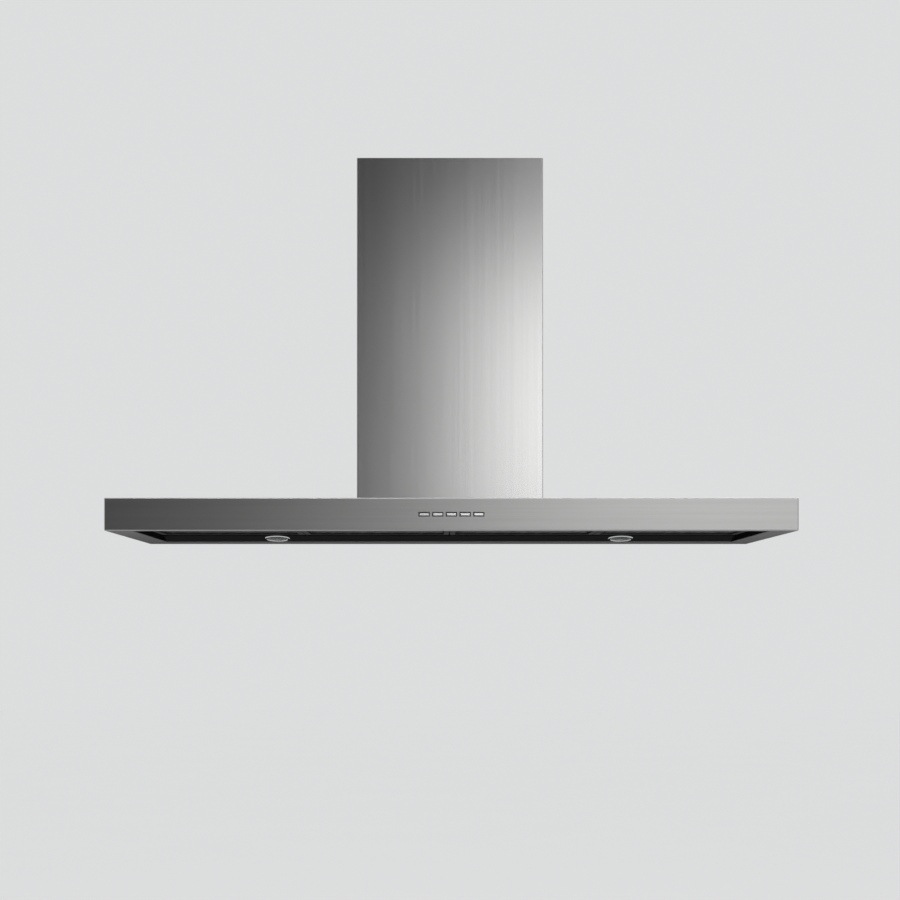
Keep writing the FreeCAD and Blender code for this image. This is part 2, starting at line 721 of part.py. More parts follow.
# The sliding latch of a filter: a finger plate below, a trapped flange and a nose in front
def filter_latch(number):
    centre = filter_x(number)

    def slab(half, depth, rise):
        return block((f"{centre} - {half}", f"{centre} + {half}"), depth, rise)

    plate_top = "latch_step + latch_plate"
    body_y = ("latch_front", "latch_rear")
    flange = slab("latch_width / 2", body_y, ("latch_step", plate_top))
    grip = slab("latch_mouth / 2", body_y, ("latch_low", "latch_step"))
    nose = slab("latch_nose / 2", ("filter_front - latch_reach", "latch_rear"),
                ("latch_step", plate_top))
    scoop = slab("latch_mouth / 2 - 2 * latch_rise",
                 ("latch_front + latch_length / 2", "latch_rear - 2 * latch_rise"),
                 ("latch_low - overrun", "latch_step"))
    return piece(cut(fuse(flange, grip, nose), scoop), f"filter_{number + 1}_latch")


# The leaf spring behind a latch, a shallow vee between the latch and the end of its pocket
def latch_spring(number):
    body = body_at(filter_x(number))
    half = "spring_width / 2"
    rear = "pocket_rear - seat_gap"
    tip = "latch_rear + seat_gap"
    profile = [
        (f"-{half}", f"{rear} - spring_gauge"), ("0", tip), (half, f"{rear} - spring_gauge"),
        (half, rear), ("0", f"{tip} + spring_gauge"), (f"-{half}", rear),
    ]
    pad(body, sketch(body, "XY_Plane", "latch_step + latch_play", [profile]),
        "latch_plate - 2 * latch_play")
    return piece(body, f"filter_{number + 1}_spring")


def keeper(number):
    """One keeper: a strip on the tray's front wall with a lip under the latch's nose."""
    body = body_at(filter_x(number))
    wall = "opening_front"
    lip = "latch_step - seat_gap"
    inner = f"{wall} + keeper_gauge"
    reach = f"{wall} + keeper_lip"
    profile = [
        (wall, f"{lip} - keeper_height / 2"), (inner, f"{lip} - keeper_height / 2"),
        (inner, f"{lip} - keeper_gauge"), (reach, f"{lip} - keeper_gauge"),
        (reach, lip), (inner, lip),
        (inner, f"{lip} + keeper_height / 2"), (wall, f"{lip} + keeper_height / 2"),
    ]
    pad(body, sketch(body, "YZ_Plane", "-latch_nose / 2", [profile]), "latch_nose")
    return body


# The spring steel keepers, one for each filter's latch, riveted to the tray's front wall
def filter_keepers():
    keepers = [keeper(number) for number in range(SIZES["filter_count"])]
    return piece(group(*keepers), "filter_keepers")


def channel(body, half, front, back, low, height):
    """A folded cover: a front and two sides, with lips turned in along the wall."""
    inner_half = f"{half} - flue_gauge"
    lip = f"{half} - flue_return"
    profile = [
        (f"-({half})", back), (f"-({half})", front), (half, front), (half, back), (lip, back),
        (lip, f"{back} - flue_gauge"), (inner_half, f"{back} - flue_gauge"),
        (inner_half, f"{front} + flue_gauge"), (f"-({inner_half})", f"{front} + flue_gauge"),
        (f"-({inner_half})", f"{back} - flue_gauge"), (f"-({lip})", f"{back} - flue_gauge"),
        (f"-({lip})", back),
    ]
    pad(body, sketch(body, "XY_Plane", low, [profile]), height)
    tall = value(height) / 2
    edge_y = value(front)
    edge_x = value(half)
    near = value("bend_radius") / 4
    fillet(body, "bend_radius", lambda box: box.ZLength > tall and abs(box.YMin - edge_y) < near
           and abs(abs(box.XMin) - edge_x) < near)
    wall = value("flue_gauge")
    fillet(body, "bend_radius - flue_gauge",
           lambda box: box.ZLength > tall and abs(box.YMin - edge_y - wall) < near
           and abs(abs(box.XMin) - edge_x + wall) < near)


# The chimney's lower cover, which stands on the canopy, with two pressed stops inside
def lower_flue_cover():
    body = body_at()
    channel(body, "flue_half", "-flue_depth", "0", "canopy_height", "flue_height")
    depth = ("duct_y - stop_width / 2", "duct_y + stop_width / 2")
    rise = ("upper_bottom - stop_height", "upper_bottom")
    wall = "flue_half - flue_gauge / 2"
    tip = "upper_half - flue_gauge"
    stops = [
        block((f"-({wall})", f"-({tip})"), depth, rise),
        block((tip, wall), depth, rise),
    ]
    return piece(fuse(body, *stops), "lower_flue_cover")


# The chimney's upper cover, nested in the lower one and drawn up to meet the ceiling
def upper_flue_cover():
    body = body_at()
    channel(body, "upper_half", "upper_front", "upper_back", "upper_bottom", "upper_flue_height")
    return piece(body, "upper_flue_cover")


# The bracket that is screwed to the wall inside the chimney and guides the upper cover
def flue_bracket():
    body = body_at()
    ear = "upper_half - flue_gauge - bracket_play"
    step = "upper_back - flue_gauge - bracket_play"
    foot = "bracket_half"
    profile = [
        (f"-({foot})", "0"), (f"-({foot})", f"{step}"), (f"-({ear})", f"{step}"),
        (f"-({ear})", f"{step} - bracket_ear"),
        (f"-({ear}) + bracket_gauge", f"{step} - bracket_ear"),
        (f"-({ear}) + bracket_gauge", f"{step} - bracket_gauge"),
        (f"-({foot}) + bracket_gauge", f"{step} - bracket_gauge"),
        (f"-({foot}) + bracket_gauge", "-bracket_gauge"),
        (f"{foot} - bracket_gauge", "-bracket_gauge"),
        (f"{foot} - bracket_gauge", f"{step} - bracket_gauge"),
        (f"{ear} - bracket_gauge", f"{step} - bracket_gauge"),
        (f"{ear} - bracket_gauge", f"{step} - bracket_ear"),
        (f"{ear}", f"{step} - bracket_ear"), (f"{ear}", f"{step}"), (f"{foot}", f"{step}"),
        (f"{foot}", "0"),
    ]
    pad(body, sketch(body, "XY_Plane", "bracket_top - bracket_height", [profile]),
        "bracket_height")
    holes = [
        ("wall_hole_radius", f"{side} * bracket_hole_spacing / 2",
         "bracket_top - bracket_height / 2")
        for side in (-1, 1)
    ]
    pocket(body, sketch(body, "XZ_Plane", "-overrun", [], holes), "2 * overrun")
    return piece(body, "flue_bracket")


# The blower box: a sheet box open below, its foot screwed down over the canopy's mouth
def blower_box():
    outer = block(mid("box_half"), ("box_front", "-box_rear"), ("canopy_height", "box_top"))
    foot = block(
        mid("box_half + box_flange_side"),
        ("box_front - box_flange_end", "-box_rear + box_flange_end"),
        ("canopy_height", "canopy_height + shell_gauge"),
    )
    inner = block(
        mid("box_half - shell_gauge"),
        ("box_front + shell_gauge", "-box_rear - shell_gauge"),
        ("canopy_height - overrun", "box_top - shell_gauge"),
    )
    holes = [screw_hole(x, y, "canopy_height", "canopy_height") for x, y in box_corners()]
    holes += [screw_hole(x, y, "box_top", "box_top") for x, y in throat_corners()]
    holes.append(rod("z", "duct_bore - damper_ledge", ("box_top - overrun", "box_top + overrun"),
                     ("0", "duct_y")))
    holes += lead_holes()
    return piece(cut(fuse(outer, foot), inner, *holes), "blower_box")


def scroll_space(inset):
    """The space inside or round the fan casing: a drum off the fan's axis and a square throat."""
    side = mid(f"scroll_half - {inset}")
    drum = rod("x", f"scroll_radius - {inset}", side, ("scroll_y", "scroll_level"))
    throat_half = f"throat_width / 2 - {inset}"
    throat = block(
        side, (f"duct_y - ({throat_half})", f"duct_y + {throat_half}"),
        ("scroll_level", "throat_top"),
    )
    return fuse(drum, throat)


# Half of the fan casing: the casing is split down the middle, each half with its own inlet
def scroll_half_casing(side, word):
    flange = block(
        mid("scroll_half + throat_flange"),
        ("duct_y - throat_width / 2", "duct_y + throat_width / 2"),
        ("throat_top - throat_plate", "throat_top"),
    )
    bore = block(
        mid("scroll_half - scroll_wall"),
        ("duct_y - throat_width / 2 + scroll_wall", "duct_y + throat_width / 2 - scroll_wall"),
        ("throat_top - overrun", "throat_top + overrun"),
    )
    inlet = rod("x", "inlet_radius", mid("scroll_half + overrun"), ("fan_y", "fan_z"))
    holes = [screw_hole(x, y, "throat_top", "throat_top") for x, y in throat_corners()]
    whole = cut(fuse(scroll_space("0"), flange), scroll_space("scroll_wall"), bore, inlet, *holes)
    reach = "scroll_half + throat_flange + overrun"
    ends = ("0", reach) if side > 0 else (f"-({reach})", "0")
    keep = block(ends, ("box_front", "-box_rear"), ("canopy_height", "box_top"))
    return piece(common(whole, keep), f"scroll_casing_{word}")


# The foam gasket between the casing's throat and the top of the box
def throat_gasket():
    ends = mid("scroll_half + throat_flange")
    depth = ("duct_y - throat_width / 2", "duct_y + throat_width / 2")
    pad_block = block(ends, depth, ("throat_top", "throat_top + gasket_height"))
    bore = block(
        mid("scroll_half - scroll_wall"),
        (f"{depth[0]} + scroll_wall", f"{depth[1]} - scroll_wall"),
        ("throat_top - overrun", "box_top + overrun"),
    )
    holes = [screw_hole(x, y, "throat_top", "throat_top") for x, y in throat_corners()]
    return piece(cut(pad_block, bore, *holes), "throat_gasket")


# The double inlet fan wheel: two rows of blades on one disc, tied by a ring at each end
def fan_wheel():
    body = body_at("0", "fan_y", "fan_z")
    body.Placement.Rotation = TURNS["x"]
    rim = "fan_radius"
    inner = "fan_radius - blade_depth"
    pad(body, sketch(body, "XY_Plane", "-fan_disc / 2", [], [(rim, "0", "0")]), "fan_disc")
    blade = [
        (inner, "-blade_gauge"), (rim, "blade_depth / 3"),
        (rim, "blade_depth / 3 + blade_gauge"), (inner, "0"),
    ]
    first = pad(body, sketch(body, "XY_Plane", "-fan_width / 2", [blade]), "fan_width")
    ring = body.newObject("PartDesign::PolarPattern", "Blades")
    ring.Originals = [first]
    ring.Axis = (origin(body, "Z_Axis"), [""])
    ring.Angle = 360
    bind(ring, "Occurrences", "blade_count")
    body.Tip = ring
    doc.recompute()
    for start in ("-fan_width / 2", "fan_width / 2 - fan_ring"):
        ends = [("fan_radius", "0", "0"), (f"{inner}", "0", "0")]
        pad(body, sketch(body, "XY_Plane", start, [], ends), "fan_ring")
    pad(body, sketch(body, "XY_Plane", "-hub_length / 2", [], [("hub_radius", "0", "0")]),
        "hub_length")
    pocket(body, sketch(body, "XY_Plane", "-hub_length", [], [("shaft_radius", "0", "0")]),
           "2 * hub_length")
    return piece(body, "fan_wheel")


# The motor: a round can inside one row of blades, with a raised end that the spider holds
def motor():
    can = rod("x", "motor_radius", ("hub_length / 2 + motor_gap / 2", "scroll_half - motor_cap"),
              ("fan_y", "fan_z"))
    end = rod("x", "motor_end", ("scroll_half - motor_cap", "scroll_half"), ("fan_y", "fan_z"))
    bore = rod("x", "shaft_radius + shaft_play", ("0", "scroll_half - motor_cap"),
               ("fan_y", "fan_z"))
    piece(cut(fuse(can, end), bore), "motor")
    shaft = rod("x", "shaft_radius", ("-shaft_stub", "scroll_half - motor_cap - shaft_play"),
                ("fan_y", "fan_z"))
    return piece(shaft, "motor_shaft")


# The spider: three arms that carry the motor in one inlet of the casing
def motor_spider():
    span = ("scroll_half", "scroll_half + spider_gauge")
    centre = ("fan_y", "fan_z")
    rim = cut(rod("x", "inlet_radius + spider_rim", span, centre),
              rod("x", "inlet_radius - seat_gap", (f"{span[0]} - overrun", f"{span[1]} + overrun"),
                  centre))
    boss = rod("x", "motor_end", span, centre)
    arms = []
    for turn in range(3):
        arm = doc.addObject("Part::Box", "Arm")
        bind(arm, "Length", "spider_gauge")
        bind(arm, "Width", "spider_arm")
        bind(arm, "Height", "inlet_radius + spider_rim / 2")
        angle = 120 * turn
        spin = FreeCAD.Rotation(FreeCAD.Vector(1, 0, 0), angle)
        arm.Placement = FreeCAD.Placement(FreeCAD.Vector(), spin)
        bind(arm, "Placement.Base.x", "scroll_half")
        bind(arm, "Placement.Base.y", f"fan_y - spider_arm / 2 * cos({angle} deg)")
        bind(arm, "Placement.Base.z", f"fan_z - spider_arm / 2 * sin({angle} deg)")
        arms.append(arm)
    return piece(fuse(rim, boss, *arms), "motor_spider")


# The duct collar on the box, with the inner ledge that the damper flaps close on
def duct_collar():
    low = "box_top"
    top = "box_top + duct_height"
    axis = ("0", "duct_y")
    tube = rod("z", "duct_radius", (low, top), axis)
    flange = rod("z", "duct_radius + duct_flange", (low, f"{low} + duct_flange_gauge"), axis)
    bore = rod("z", "duct_bore", (f"{low} - overrun", f"{top} + overrun"), axis)
    seat = "damper_z - damper_gauge / 2"
    ledge = cut(
        rod("z", "duct_radius - duct_wall / 2", (f"{seat} - damper_gauge", seat), axis),
        rod("z", "duct_bore - damper_ledge", (low, f"{seat} + overrun"), axis),
    )
    across = ("duct_y - duct_radius - overrun", "duct_y + duct_radius + overrun")
    pin_hole = rod("y", "damper_pin", across, ("0", "damper_z"))
    return piece(cut(fuse(cut(fuse(tube, flange), bore), ledge), pin_hole), "duct_collar")


def knuckle_spans(side):
    """The stretches of the pin that one flap's knuckles take, in turn with the other's."""
    for number in range(4):
        if (number % 2 == 0) == (side > 0):
            start = f"duct_y + ({number} - 2) * (knuckle_length + knuckle_gap) + knuckle_gap / 2"
            yield (start, f"{start} + knuckle_length")


# One damper flap: half a disc with two knuckles on the common pin
def damper_flap(side, word):
    half_gauge = "damper_gauge / 2"
    rise = (f"damper_z - {half_gauge}", f"damper_z + {half_gauge}")
    disc = rod("z", "duct_bore - damper_play", rise, ("0", "duct_y"))
    edge = "damper_knuckle + damper_gap"
    reach = "duct_radius"
    near, far = (edge, reach) if side > 0 else (f"-({reach})", f"-({edge})")
    half = common(disc, block((near, far), ("duct_y - duct_radius", "duct_y + duct_radius"), rise))
    knuckles = []
    for span in knuckle_spans(side):
        knuckles.append(rod("y", "damper_knuckle", span, ("0", "damper_z")))
        ends = ("0", f"{edge} + damper_gap") if side > 0 else (f"-({edge} + damper_gap)", "0")
        knuckles.append(block(ends, span, rise))
    bore = rod("y", "damper_pin + pin_play", ("duct_y - duct_radius", "duct_y + duct_radius"),
               ("0", "damper_z"))
    return piece(cut(fuse(half, *knuckles), bore), f"damper_flap_{word}")


# The pin across the collar that both flaps turn on
def damper_pin():
    ends = ("duct_y - duct_radius", "duct_y + duct_radius")
    return piece(rod("y", "damper_pin", ends, ("0", "damper_z")), "damper_pin")


# The electronics case beside the collar, with its board, capacitor, cover and cable gland
def electronics():
    across = ("case_left", "case_right")
    depth = ("case_front", "case_rear")
    outer = block(across, depth, ("box_top", "case_top"))
    inner = block(("case_left + case_wall", "case_right - case_wall"),
                  ("case_front + case_wall", "case_rear - case_wall"),
                  ("box_top + case_wall", "case_top + overrun"))
    piece(cut(outer, inner, *lead_holes()), "electronics_case")
    cover = block(across, depth, ("case_top", "case_top + case_wall"))
    gland_y = "case_rear - case_depth / 4"
    gland_hole = rod("z", "gland_radius - case_wall", ("case_top - overrun", "case_top + overrun"),
                     ("case_mid", gland_y))
    piece(cut(cover, gland_hole), "electronics_cover")
    base = "case_top + case_wall"
    spot = ("case_mid", gland_y)
    nut = rod("z", "gland_radius + gland_nut", (base, f"{base} + gland_nut"), spot)
    tube = rod("z", "gland_radius", (base, f"{base} + gland_height"), spot)
    neck = rod("z", "gland_radius - case_wall", ("case_top - gland_nut", base), spot)
    bore = rod("z", "gland_bore", ("case_top - overrun", f"{base} + gland_height + overrun"), spot)
    piece(cut(fuse(nut, tube, neck), bore), "cable_gland")
    floor = "box_top + case_wall"
    board = block(("case_left + 2 * case_wall", "case_right - 2 * case_wall"),
                  ("duct_y", "case_rear - 2 * case_wall"),
                  (f"{floor} + case_foot", "board_top"))
    terminal = block(
        ("lead_x - lead_inset / 2", "lead_x - lead_inset / 2 + terminal_width"),
        ("duct_y", "duct_y + terminal_depth"), ("board_top", "board_top + terminal_height"),
    )
    feet = [
        block((f"{low}", f"{low} + case_foot"), ("duct_y", "duct_y + case_foot"),
              (floor, f"{floor} + case_foot"))
        for low in ("case_left + 3 * case_wall", "case_right - 3 * case_wall - case_foot")
    ]
    feet += [
        block((f"{low}", f"{low} + case_foot"),
              ("case_rear - 3 * case_wall - case_foot", "case_rear - 3 * case_wall"),
              (floor, f"{floor} + case_foot"))
        for low in ("case_left + 3 * case_wall", "case_right - 3 * case_wall - case_foot")
    ]
    piece(fuse(board, terminal, *feet), "power_board")
    can_y = ("duct_y - capacitor_length - case_foot", "duct_y - case_foot")
    can = rod("y", "capacitor_radius", can_y,
              ("case_right - case_wall - capacitor_radius", f"{floor} + capacitor_radius"))
    return piece(can, "capacitor")


# Screws: four through the foot of the blower box and four that hang the fan casing
def blower_screws():
    screws = [screw(x, y, "(canopy_height + shell_gauge)") for x, y in box_corners()]
    screws += [screw(x, y, "box_top") for x, y in throat_corners()]
    return piece(group(*screws), "blower_screws")


def lead(points):
    """A round lead along straight runs, with an arc of one radius at each turn."""
    spots = [FreeCAD.Vector(*(value(text) for text in point)) for point in points]
    bend = value("lead_bend")
    edges = []
    start = spots[0]
    for before, corner, after in zip(spots, spots[1:], spots[2:]):
        back = (before - corner).normalize()
        ahead = (after - corner).normalize()
        turn = math.pi - back.getAngle(ahead)
        trim = bend * math.tan(turn / 2)
        enter = corner + back * trim
        leave = corner + ahead * trim
        heart = corner + (back + ahead).normalize() * (bend / math.cos(turn / 2))
        middle = heart + (corner - heart).normalize() * bend
        edges.append(Part.LineSegment(start, enter).toShape())
        edges.append(Part.Arc(enter, middle, leave).toShape())
        start = leave
    edges.append(Part.LineSegment(start, spots[-1]).toShape())
    path = Part.Wire(edges)
    ring = Part.Circle(spots[0], spots[1] - spots[0], value("lead_radius")).toShape()
    solid = path.makePipeShell([Part.Wire([ring])], True, False)
    made = doc.addObject("Part::Feature", "Lead")
    made.Shape = solid
    return made


# The control lead, from the back of the control housing up to the electronics case
def control_lead():
    side = "fascia_width / 4"
    route = [
        (side, "housing_back", "control_mid"),
        (side, "housing_back + 2 * lead_bend", "control_mid"),
        (side, "housing_back + 5 * lead_bend", "lead_level"),
        ("lead_x", "lead_y - 4 * lead_bend", "lead_level"),
        ("lead_x", "lead_y", "lead_level"),
        ("lead_x", "lead_y", "terminal_mid"),
        ("lead_x", "duct_y", "terminal_mid"),
    ]
    return piece(lead(route), "control_lead")


# The motor lead, from the motor's end through the top of the blower box to the same terminal
def motor_lead():
    route = [
        ("scroll_half + spider_gauge", "fan_y", "fan_z"),
        ("motor_lead_x", "fan_y", "fan_z"),
        ("motor_lead_x", "motor_lead_y", "fan_z + 4 * lead_bend"),
        ("motor_lead_x", "motor_lead_y", "terminal_mid"),
        ("motor_lead_x", "duct_y", "terminal_mid"),
    ]
    return piece(lead(route), "motor_lead")


# The two lamp leads, from the lamp cans over the filters to the ends of the control housing
def lamp_leads():
    reach = "(lamp_neck_length + lamp_can_length)"
    start_y = f"lamp_y + {reach} * sin(strip_slope * 1 deg)"
    start_z = f"lamp_z + {reach} * cos(strip_slope * 1 deg) + lead_radius / 5"
    leads = []
    for side in (-1, 1):
        lamp_x = f"{side} * lamp_spacing / 2"
        leads.append(lead([
            (lamp_x, start_y, start_z),
            (lamp_x, start_y, "lead_level"),
            (lamp_x, "control_y + 5 * lead_bend", "lead_level"),
            (f"{side} * (housing_half + 6 * lead_bend)", "control_y", "control_mid"),
            (f"{side} * housing_half", "control_y", "control_mid"),
        ]))
    return piece(group(*leads), "lamp_leads")


canopy_shell()
canopy_back_panel()
top_stiffeners()
filter_tray()
lamp_panel()
lamp(-1, "left")
lamp(1, "right")
button_fascia()
control_housing()
control_board()
for button_number in range(SIZES["button_count"]):
    button(button_number)
for filter_number in range(SIZES["filter_count"]):
    filter_frame(filter_number)
    filter_mesh(filter_number)
    filter_latch(filter_number)
    latch_spring(filter_number)
filter_keepers()
lower_flue_cover()
upper_flue_cover()
flue_bracket()
blower_box()
scroll_half_casing(-1, "left")
scroll_half_casing(1, "right")
throat_gasket()
fan_wheel()
motor()
motor_spider()
duct_collar()
damper_flap(-1, "left")
damper_flap(1, "right")
damper_pin()
electronics()
blower_screws()
control_lead()
motor_lead()
lamp_leads()
doc.recompute()

for thing in doc.Objects:
    if "Invalid" in thing.State or "Error" in thing.State:
        raise RuntimeError(f"{thing.Name} in {thing.Label} failed: {thing.State}")
for thing in pieces:
    if thing.Shape.isNull() or not thing.Shape.isValid() or not thing.Shape.Solids:
        raise RuntimeError(f"{thing.Label} has no valid solid")

os.makedirs("parts", exist_ok=True)
for thing in pieces:
    thing.Shape.exportStep(os.path.join("parts", f"{thing.Label}.step"))
print(f"{len(pieces)} sub-parts written")
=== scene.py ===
import bpy
import math
import numpy as np
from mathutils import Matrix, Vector


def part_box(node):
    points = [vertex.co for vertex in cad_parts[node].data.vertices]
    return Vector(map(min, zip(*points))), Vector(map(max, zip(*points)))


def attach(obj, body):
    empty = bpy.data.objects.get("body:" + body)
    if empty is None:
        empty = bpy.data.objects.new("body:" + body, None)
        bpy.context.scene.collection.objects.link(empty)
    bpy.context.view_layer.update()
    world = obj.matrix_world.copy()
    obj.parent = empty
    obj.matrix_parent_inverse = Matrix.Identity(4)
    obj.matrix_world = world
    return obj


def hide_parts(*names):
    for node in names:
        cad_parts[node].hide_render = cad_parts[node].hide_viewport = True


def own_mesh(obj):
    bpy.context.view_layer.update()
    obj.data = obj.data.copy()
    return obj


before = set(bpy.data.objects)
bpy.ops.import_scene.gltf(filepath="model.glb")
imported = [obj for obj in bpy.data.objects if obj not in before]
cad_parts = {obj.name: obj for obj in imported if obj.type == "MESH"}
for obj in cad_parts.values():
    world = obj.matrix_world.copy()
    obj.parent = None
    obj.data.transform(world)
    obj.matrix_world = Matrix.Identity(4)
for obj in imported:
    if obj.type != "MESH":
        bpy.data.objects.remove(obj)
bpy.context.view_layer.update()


# The view: a level camera a little below the hood and left of its middle, as one stands in front
# of a wall. Its shift frames the hood without tilting the lens.
FRAME_PIXELS = 900
FOCAL_PIXELS = 1766
VANISHING_PIXEL = (430, 625.1)
CAMERA_PLACE = (-0.037, -3.55, -0.163)
SENSOR = 36

lens = bpy.data.cameras.new("camera")
lens.sensor_width = SENSOR
lens.lens = SENSOR * FOCAL_PIXELS / FRAME_PIXELS
lens.shift_x = 0.5 - VANISHING_PIXEL[0] / FRAME_PIXELS
lens.shift_y = VANISHING_PIXEL[1] / FRAME_PIXELS - 0.5
camera = bpy.data.objects.new("camera", lens)
camera.location = CAMERA_PLACE
camera.rotation_euler = (math.pi / 2, 0, 0)
bpy.context.scene.collection.objects.link(camera)
bpy.context.scene.camera = camera
bpy.context.scene.view_settings.view_transform = "Standard"


# The studio: a wide pale floor, a pale surround, a soft box in front on the right, one overhead
# and a narrow one over the front edge. Dark cards that only reflections see shade the steel.
class Socket:
    """One output of a shader node. Arithmetic on it adds a Math node for each operator."""

    def __init__(self, owner, output):
        self.owner = owner
        self.output = output

    def math(self, operation, *others):
        return self.owner.node("Math", {"operation": operation}, (self, *others))

    def __add__(self, other):
        return self.math("ADD", other)

    def __sub__(self, other):
        return self.math("SUBTRACT", other)

    def __rsub__(self, other):
        return self.owner.node("Math", {"operation": "SUBTRACT"}, (other, self))

    def __mul__(self, other):
        return self.math("MULTIPLY", other)

    __radd__ = __add__
    __rmul__ = __mul__


class Nodes:
    """The shader nodes of one material, or of the surround."""

    def __init__(self, tree):
        self.tree = tree

    def node(self, kind, settings=None, values=(), output=0, **sockets):
        """Adds a node: its settings, then its sockets in order or by name, from links or values."""
        made = self.tree.nodes.new("ShaderNode" + kind)
        for word, setting in (settings or {}).items():
            setattr(made, word, setting)
        entries = list(zip(made.inputs, values))
        for word, given in sockets.items():
            found = [e for e in made.inputs if word in (e.identifier, e.name.replace(" ", "_"))]
            entries.append((found[0], given))
        for entry, given in entries:
            if isinstance(given, Socket):
                self.tree.links.new(given.output, entry)
            elif entry.type == "RGBA":
                entry.default_value = (*given, 1)
            else:
                entry.default_value = given
        return Socket(self, made.outputs[output])


class Finish(Nodes):
    """A procedural material round one Principled shader."""

    def __init__(self, name, **steady):
        self.material = bpy.data.materials.new(name)
        self.material.use_nodes = True
        super().__init__(self.material.node_tree)
        self.shader = self.tree.nodes["Principled BSDF"]
        for word, number in steady.items():
            self.shader.inputs[word.replace("_", " ")].default_value = number

    def place(self, scale=(1, 1, 1), turn=(0, 0, 0)):
        """The spot on the object, turned and scaled for a pattern."""
        spot = self.node("TexCoord", output="Object")
        return self.node("Mapping", Vector=spot, Scale=scale, Rotation=turn)

    def noise(self, scale, detail, place=None, roughness=0.5):
        """Soft noise between 0 and 1: its scale, and how many finer layers lie on it."""
        if place is None:
            place = self.place()
        return self.node("TexNoise", Vector=place, Scale=scale, Detail=detail,
                         Roughness=roughness)

    def mix(self, share, low, high):
        """A colour between two."""
        return self.node("Mix", {"data_type": "RGBA"}, output=2, Factor_Float=share,
                         A_Color=low, B_Color=high)

    def feed(self, word, socket):
        """Links what varies to one socket of the shader."""
        self.tree.links.new(socket.output, self.shader.inputs[word])

    def relief(self, height, strength, depth):
        """Gives the surface a bump."""
        self.feed("Normal", self.node("Bump", Height=height, Strength=strength,
                                      Distance=depth))


def dress(finish, *names):
    """Gives CAD nodes their material."""
    for name in names:
        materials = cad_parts[name].data.materials
        materials.clear()
        materials.append(finish.material)


def flat_sheet(name, corners, finish):
    """A flat sheet of the studio, cut to its corners."""
    sheet = bpy.data.meshes.new(name)
    sheet.from_pydata(corners, [], [range(len(corners))])
    sheet.materials.append(finish.material)
    made = bpy.data.objects.new(name, sheet)
    bpy.context.scene.collection.objects.link(made)
    return made


def seen_directly(nodes):
    """1 on rays from the camera and on reflected and refracted rays, 0 on the light's own."""
    rays = nodes.node("LightPath", output="Is Camera Ray")
    rays = rays + nodes.node("LightPath", output="Is Glossy Ray")
    return (rays + nodes.node("LightPath", output="Is Transmission Ray")).math("MINIMUM", 1.0)


FLOOR_LEVEL = -1.6
FLOOR_REACH = 26.0
PALE = (0.72, 0.725, 0.73)
FILL_LEVEL = 0.42
FLOOR_GLOW = 0.72

paint = Finish("floor_paint", Roughness=0.9, Specular_IOR_Level=0.1)
paint.feed("Base Color", paint.mix(paint.noise(1.5, 1.0),
                                   (0.41, 0.413, 0.416), (0.43, 0.433, 0.436)))

# The floor glows only where it is seen, and is clear from below, where it would hide the hood.
painted = Socket(paint, paint.shader.outputs[0])
glow = paint.node("Emission", Color=PALE, Strength=FLOOR_GLOW)
both = paint.node("AddShader", values=(painted, glow))
shown = paint.node("MixShader", values=(seen_directly(paint), painted, both))
under = paint.node("NewGeometry", output="Backfacing")
sided = paint.node("MixShader", values=(under, shown, paint.node("BsdfTransparent")))
paint.tree.links.new(sided.output, paint.tree.nodes["Material Output"].inputs["Surface"])

floor = flat_sheet("floor", [(x * FLOOR_REACH, y * FLOOR_REACH, FLOOR_LEVEL)
                             for x, y in ((-1, -1), (1, -1), (1, 1), (-1, 1))], paint)

world = bpy.data.worlds.new("surround")
world.use_nodes = True
bpy.context.scene.world = world
air = Nodes(world.node_tree)
fill = air.node("Background", Color=(1, 1, 1), Strength=FILL_LEVEL)
backdrop = air.node("Background", Color=PALE, Strength=1.0)
around = air.node("MixShader", values=(seen_directly(air), fill, backdrop))
air.tree.links.new(around.output, air.tree.nodes["World Output"].inputs["Surface"])


def soft_box(name, place, aim, width, height, radiance):
    """A rectangular lamp that faces its aim. Its power is pi times its area and radiance."""
    lamp = bpy.data.lights.new(name, "AREA")
    lamp.shape = "RECTANGLE"
    lamp.size = width
    lamp.size_y = height
    lamp.energy = radiance * math.pi * width * height
    holder = bpy.data.objects.new(name, lamp)
    holder.location = place
    holder.rotation_euler = (Vector(aim) - Vector(place)).to_track_quat("-Z", "Y").to_euler()
    holder.visible_camera = False
    bpy.context.scene.collection.objects.link(holder)
    return holder


soft_box("front_box", place=(1.0, -4.2, 0.72), aim=(0.0, -0.3, 0.25), width=1.9, height=1.3,
         radiance=1.8)
soft_box("top_box", place=(0.5, -0.4, 2.6), aim=(0.1, -0.3, 0.2), width=3.2, height=1.6,
         radiance=0.9)
edge_strip = soft_box("edge_strip", place=(0.35, -0.95, 2.3), aim=(0.05, -0.5, 0.06), width=3.6,
                      height=0.35, radiance=9.0)

felt = Finish("card_felt", Roughness=1.0, Specular_IOR_Level=0.0)
felt.feed("Base Color", felt.mix(felt.noise(3.0, 1.0),
                                 (0.012, 0.012, 0.012), (0.02, 0.02, 0.02)))


def dark_card(name, y, *corners):
    """An upright felt card, cut to its corners in X and Z, that only reflections see."""
    card = flat_sheet(name, [(x, y, z) for x, z in corners], felt)
    card.visible_camera = False
    card.visible_shadow = False
    card.visible_diffuse = False


dark_card("left_card", -4.4, (-4.5, -1.2), (-0.5, -1.2), (-0.5, 4.5), (-4.5, 4.5))
dark_card("middle_card", -4.4, (-0.5, 0.0), (0.1, 0.0), (0.1, 0.6), (0.55, 2.5), (0.55, 4.5),
          (-0.5, 4.5))
dark_card("upper_card", -4.5, (0.55, 2.5), (4.5, 2.5), (4.5, 4.5), (0.55, 4.5))
dark_card("rear_card", 0.8, (-1.5, -0.45), (1.5, -0.45), (1.5, -0.02), (-1.5, -0.02))


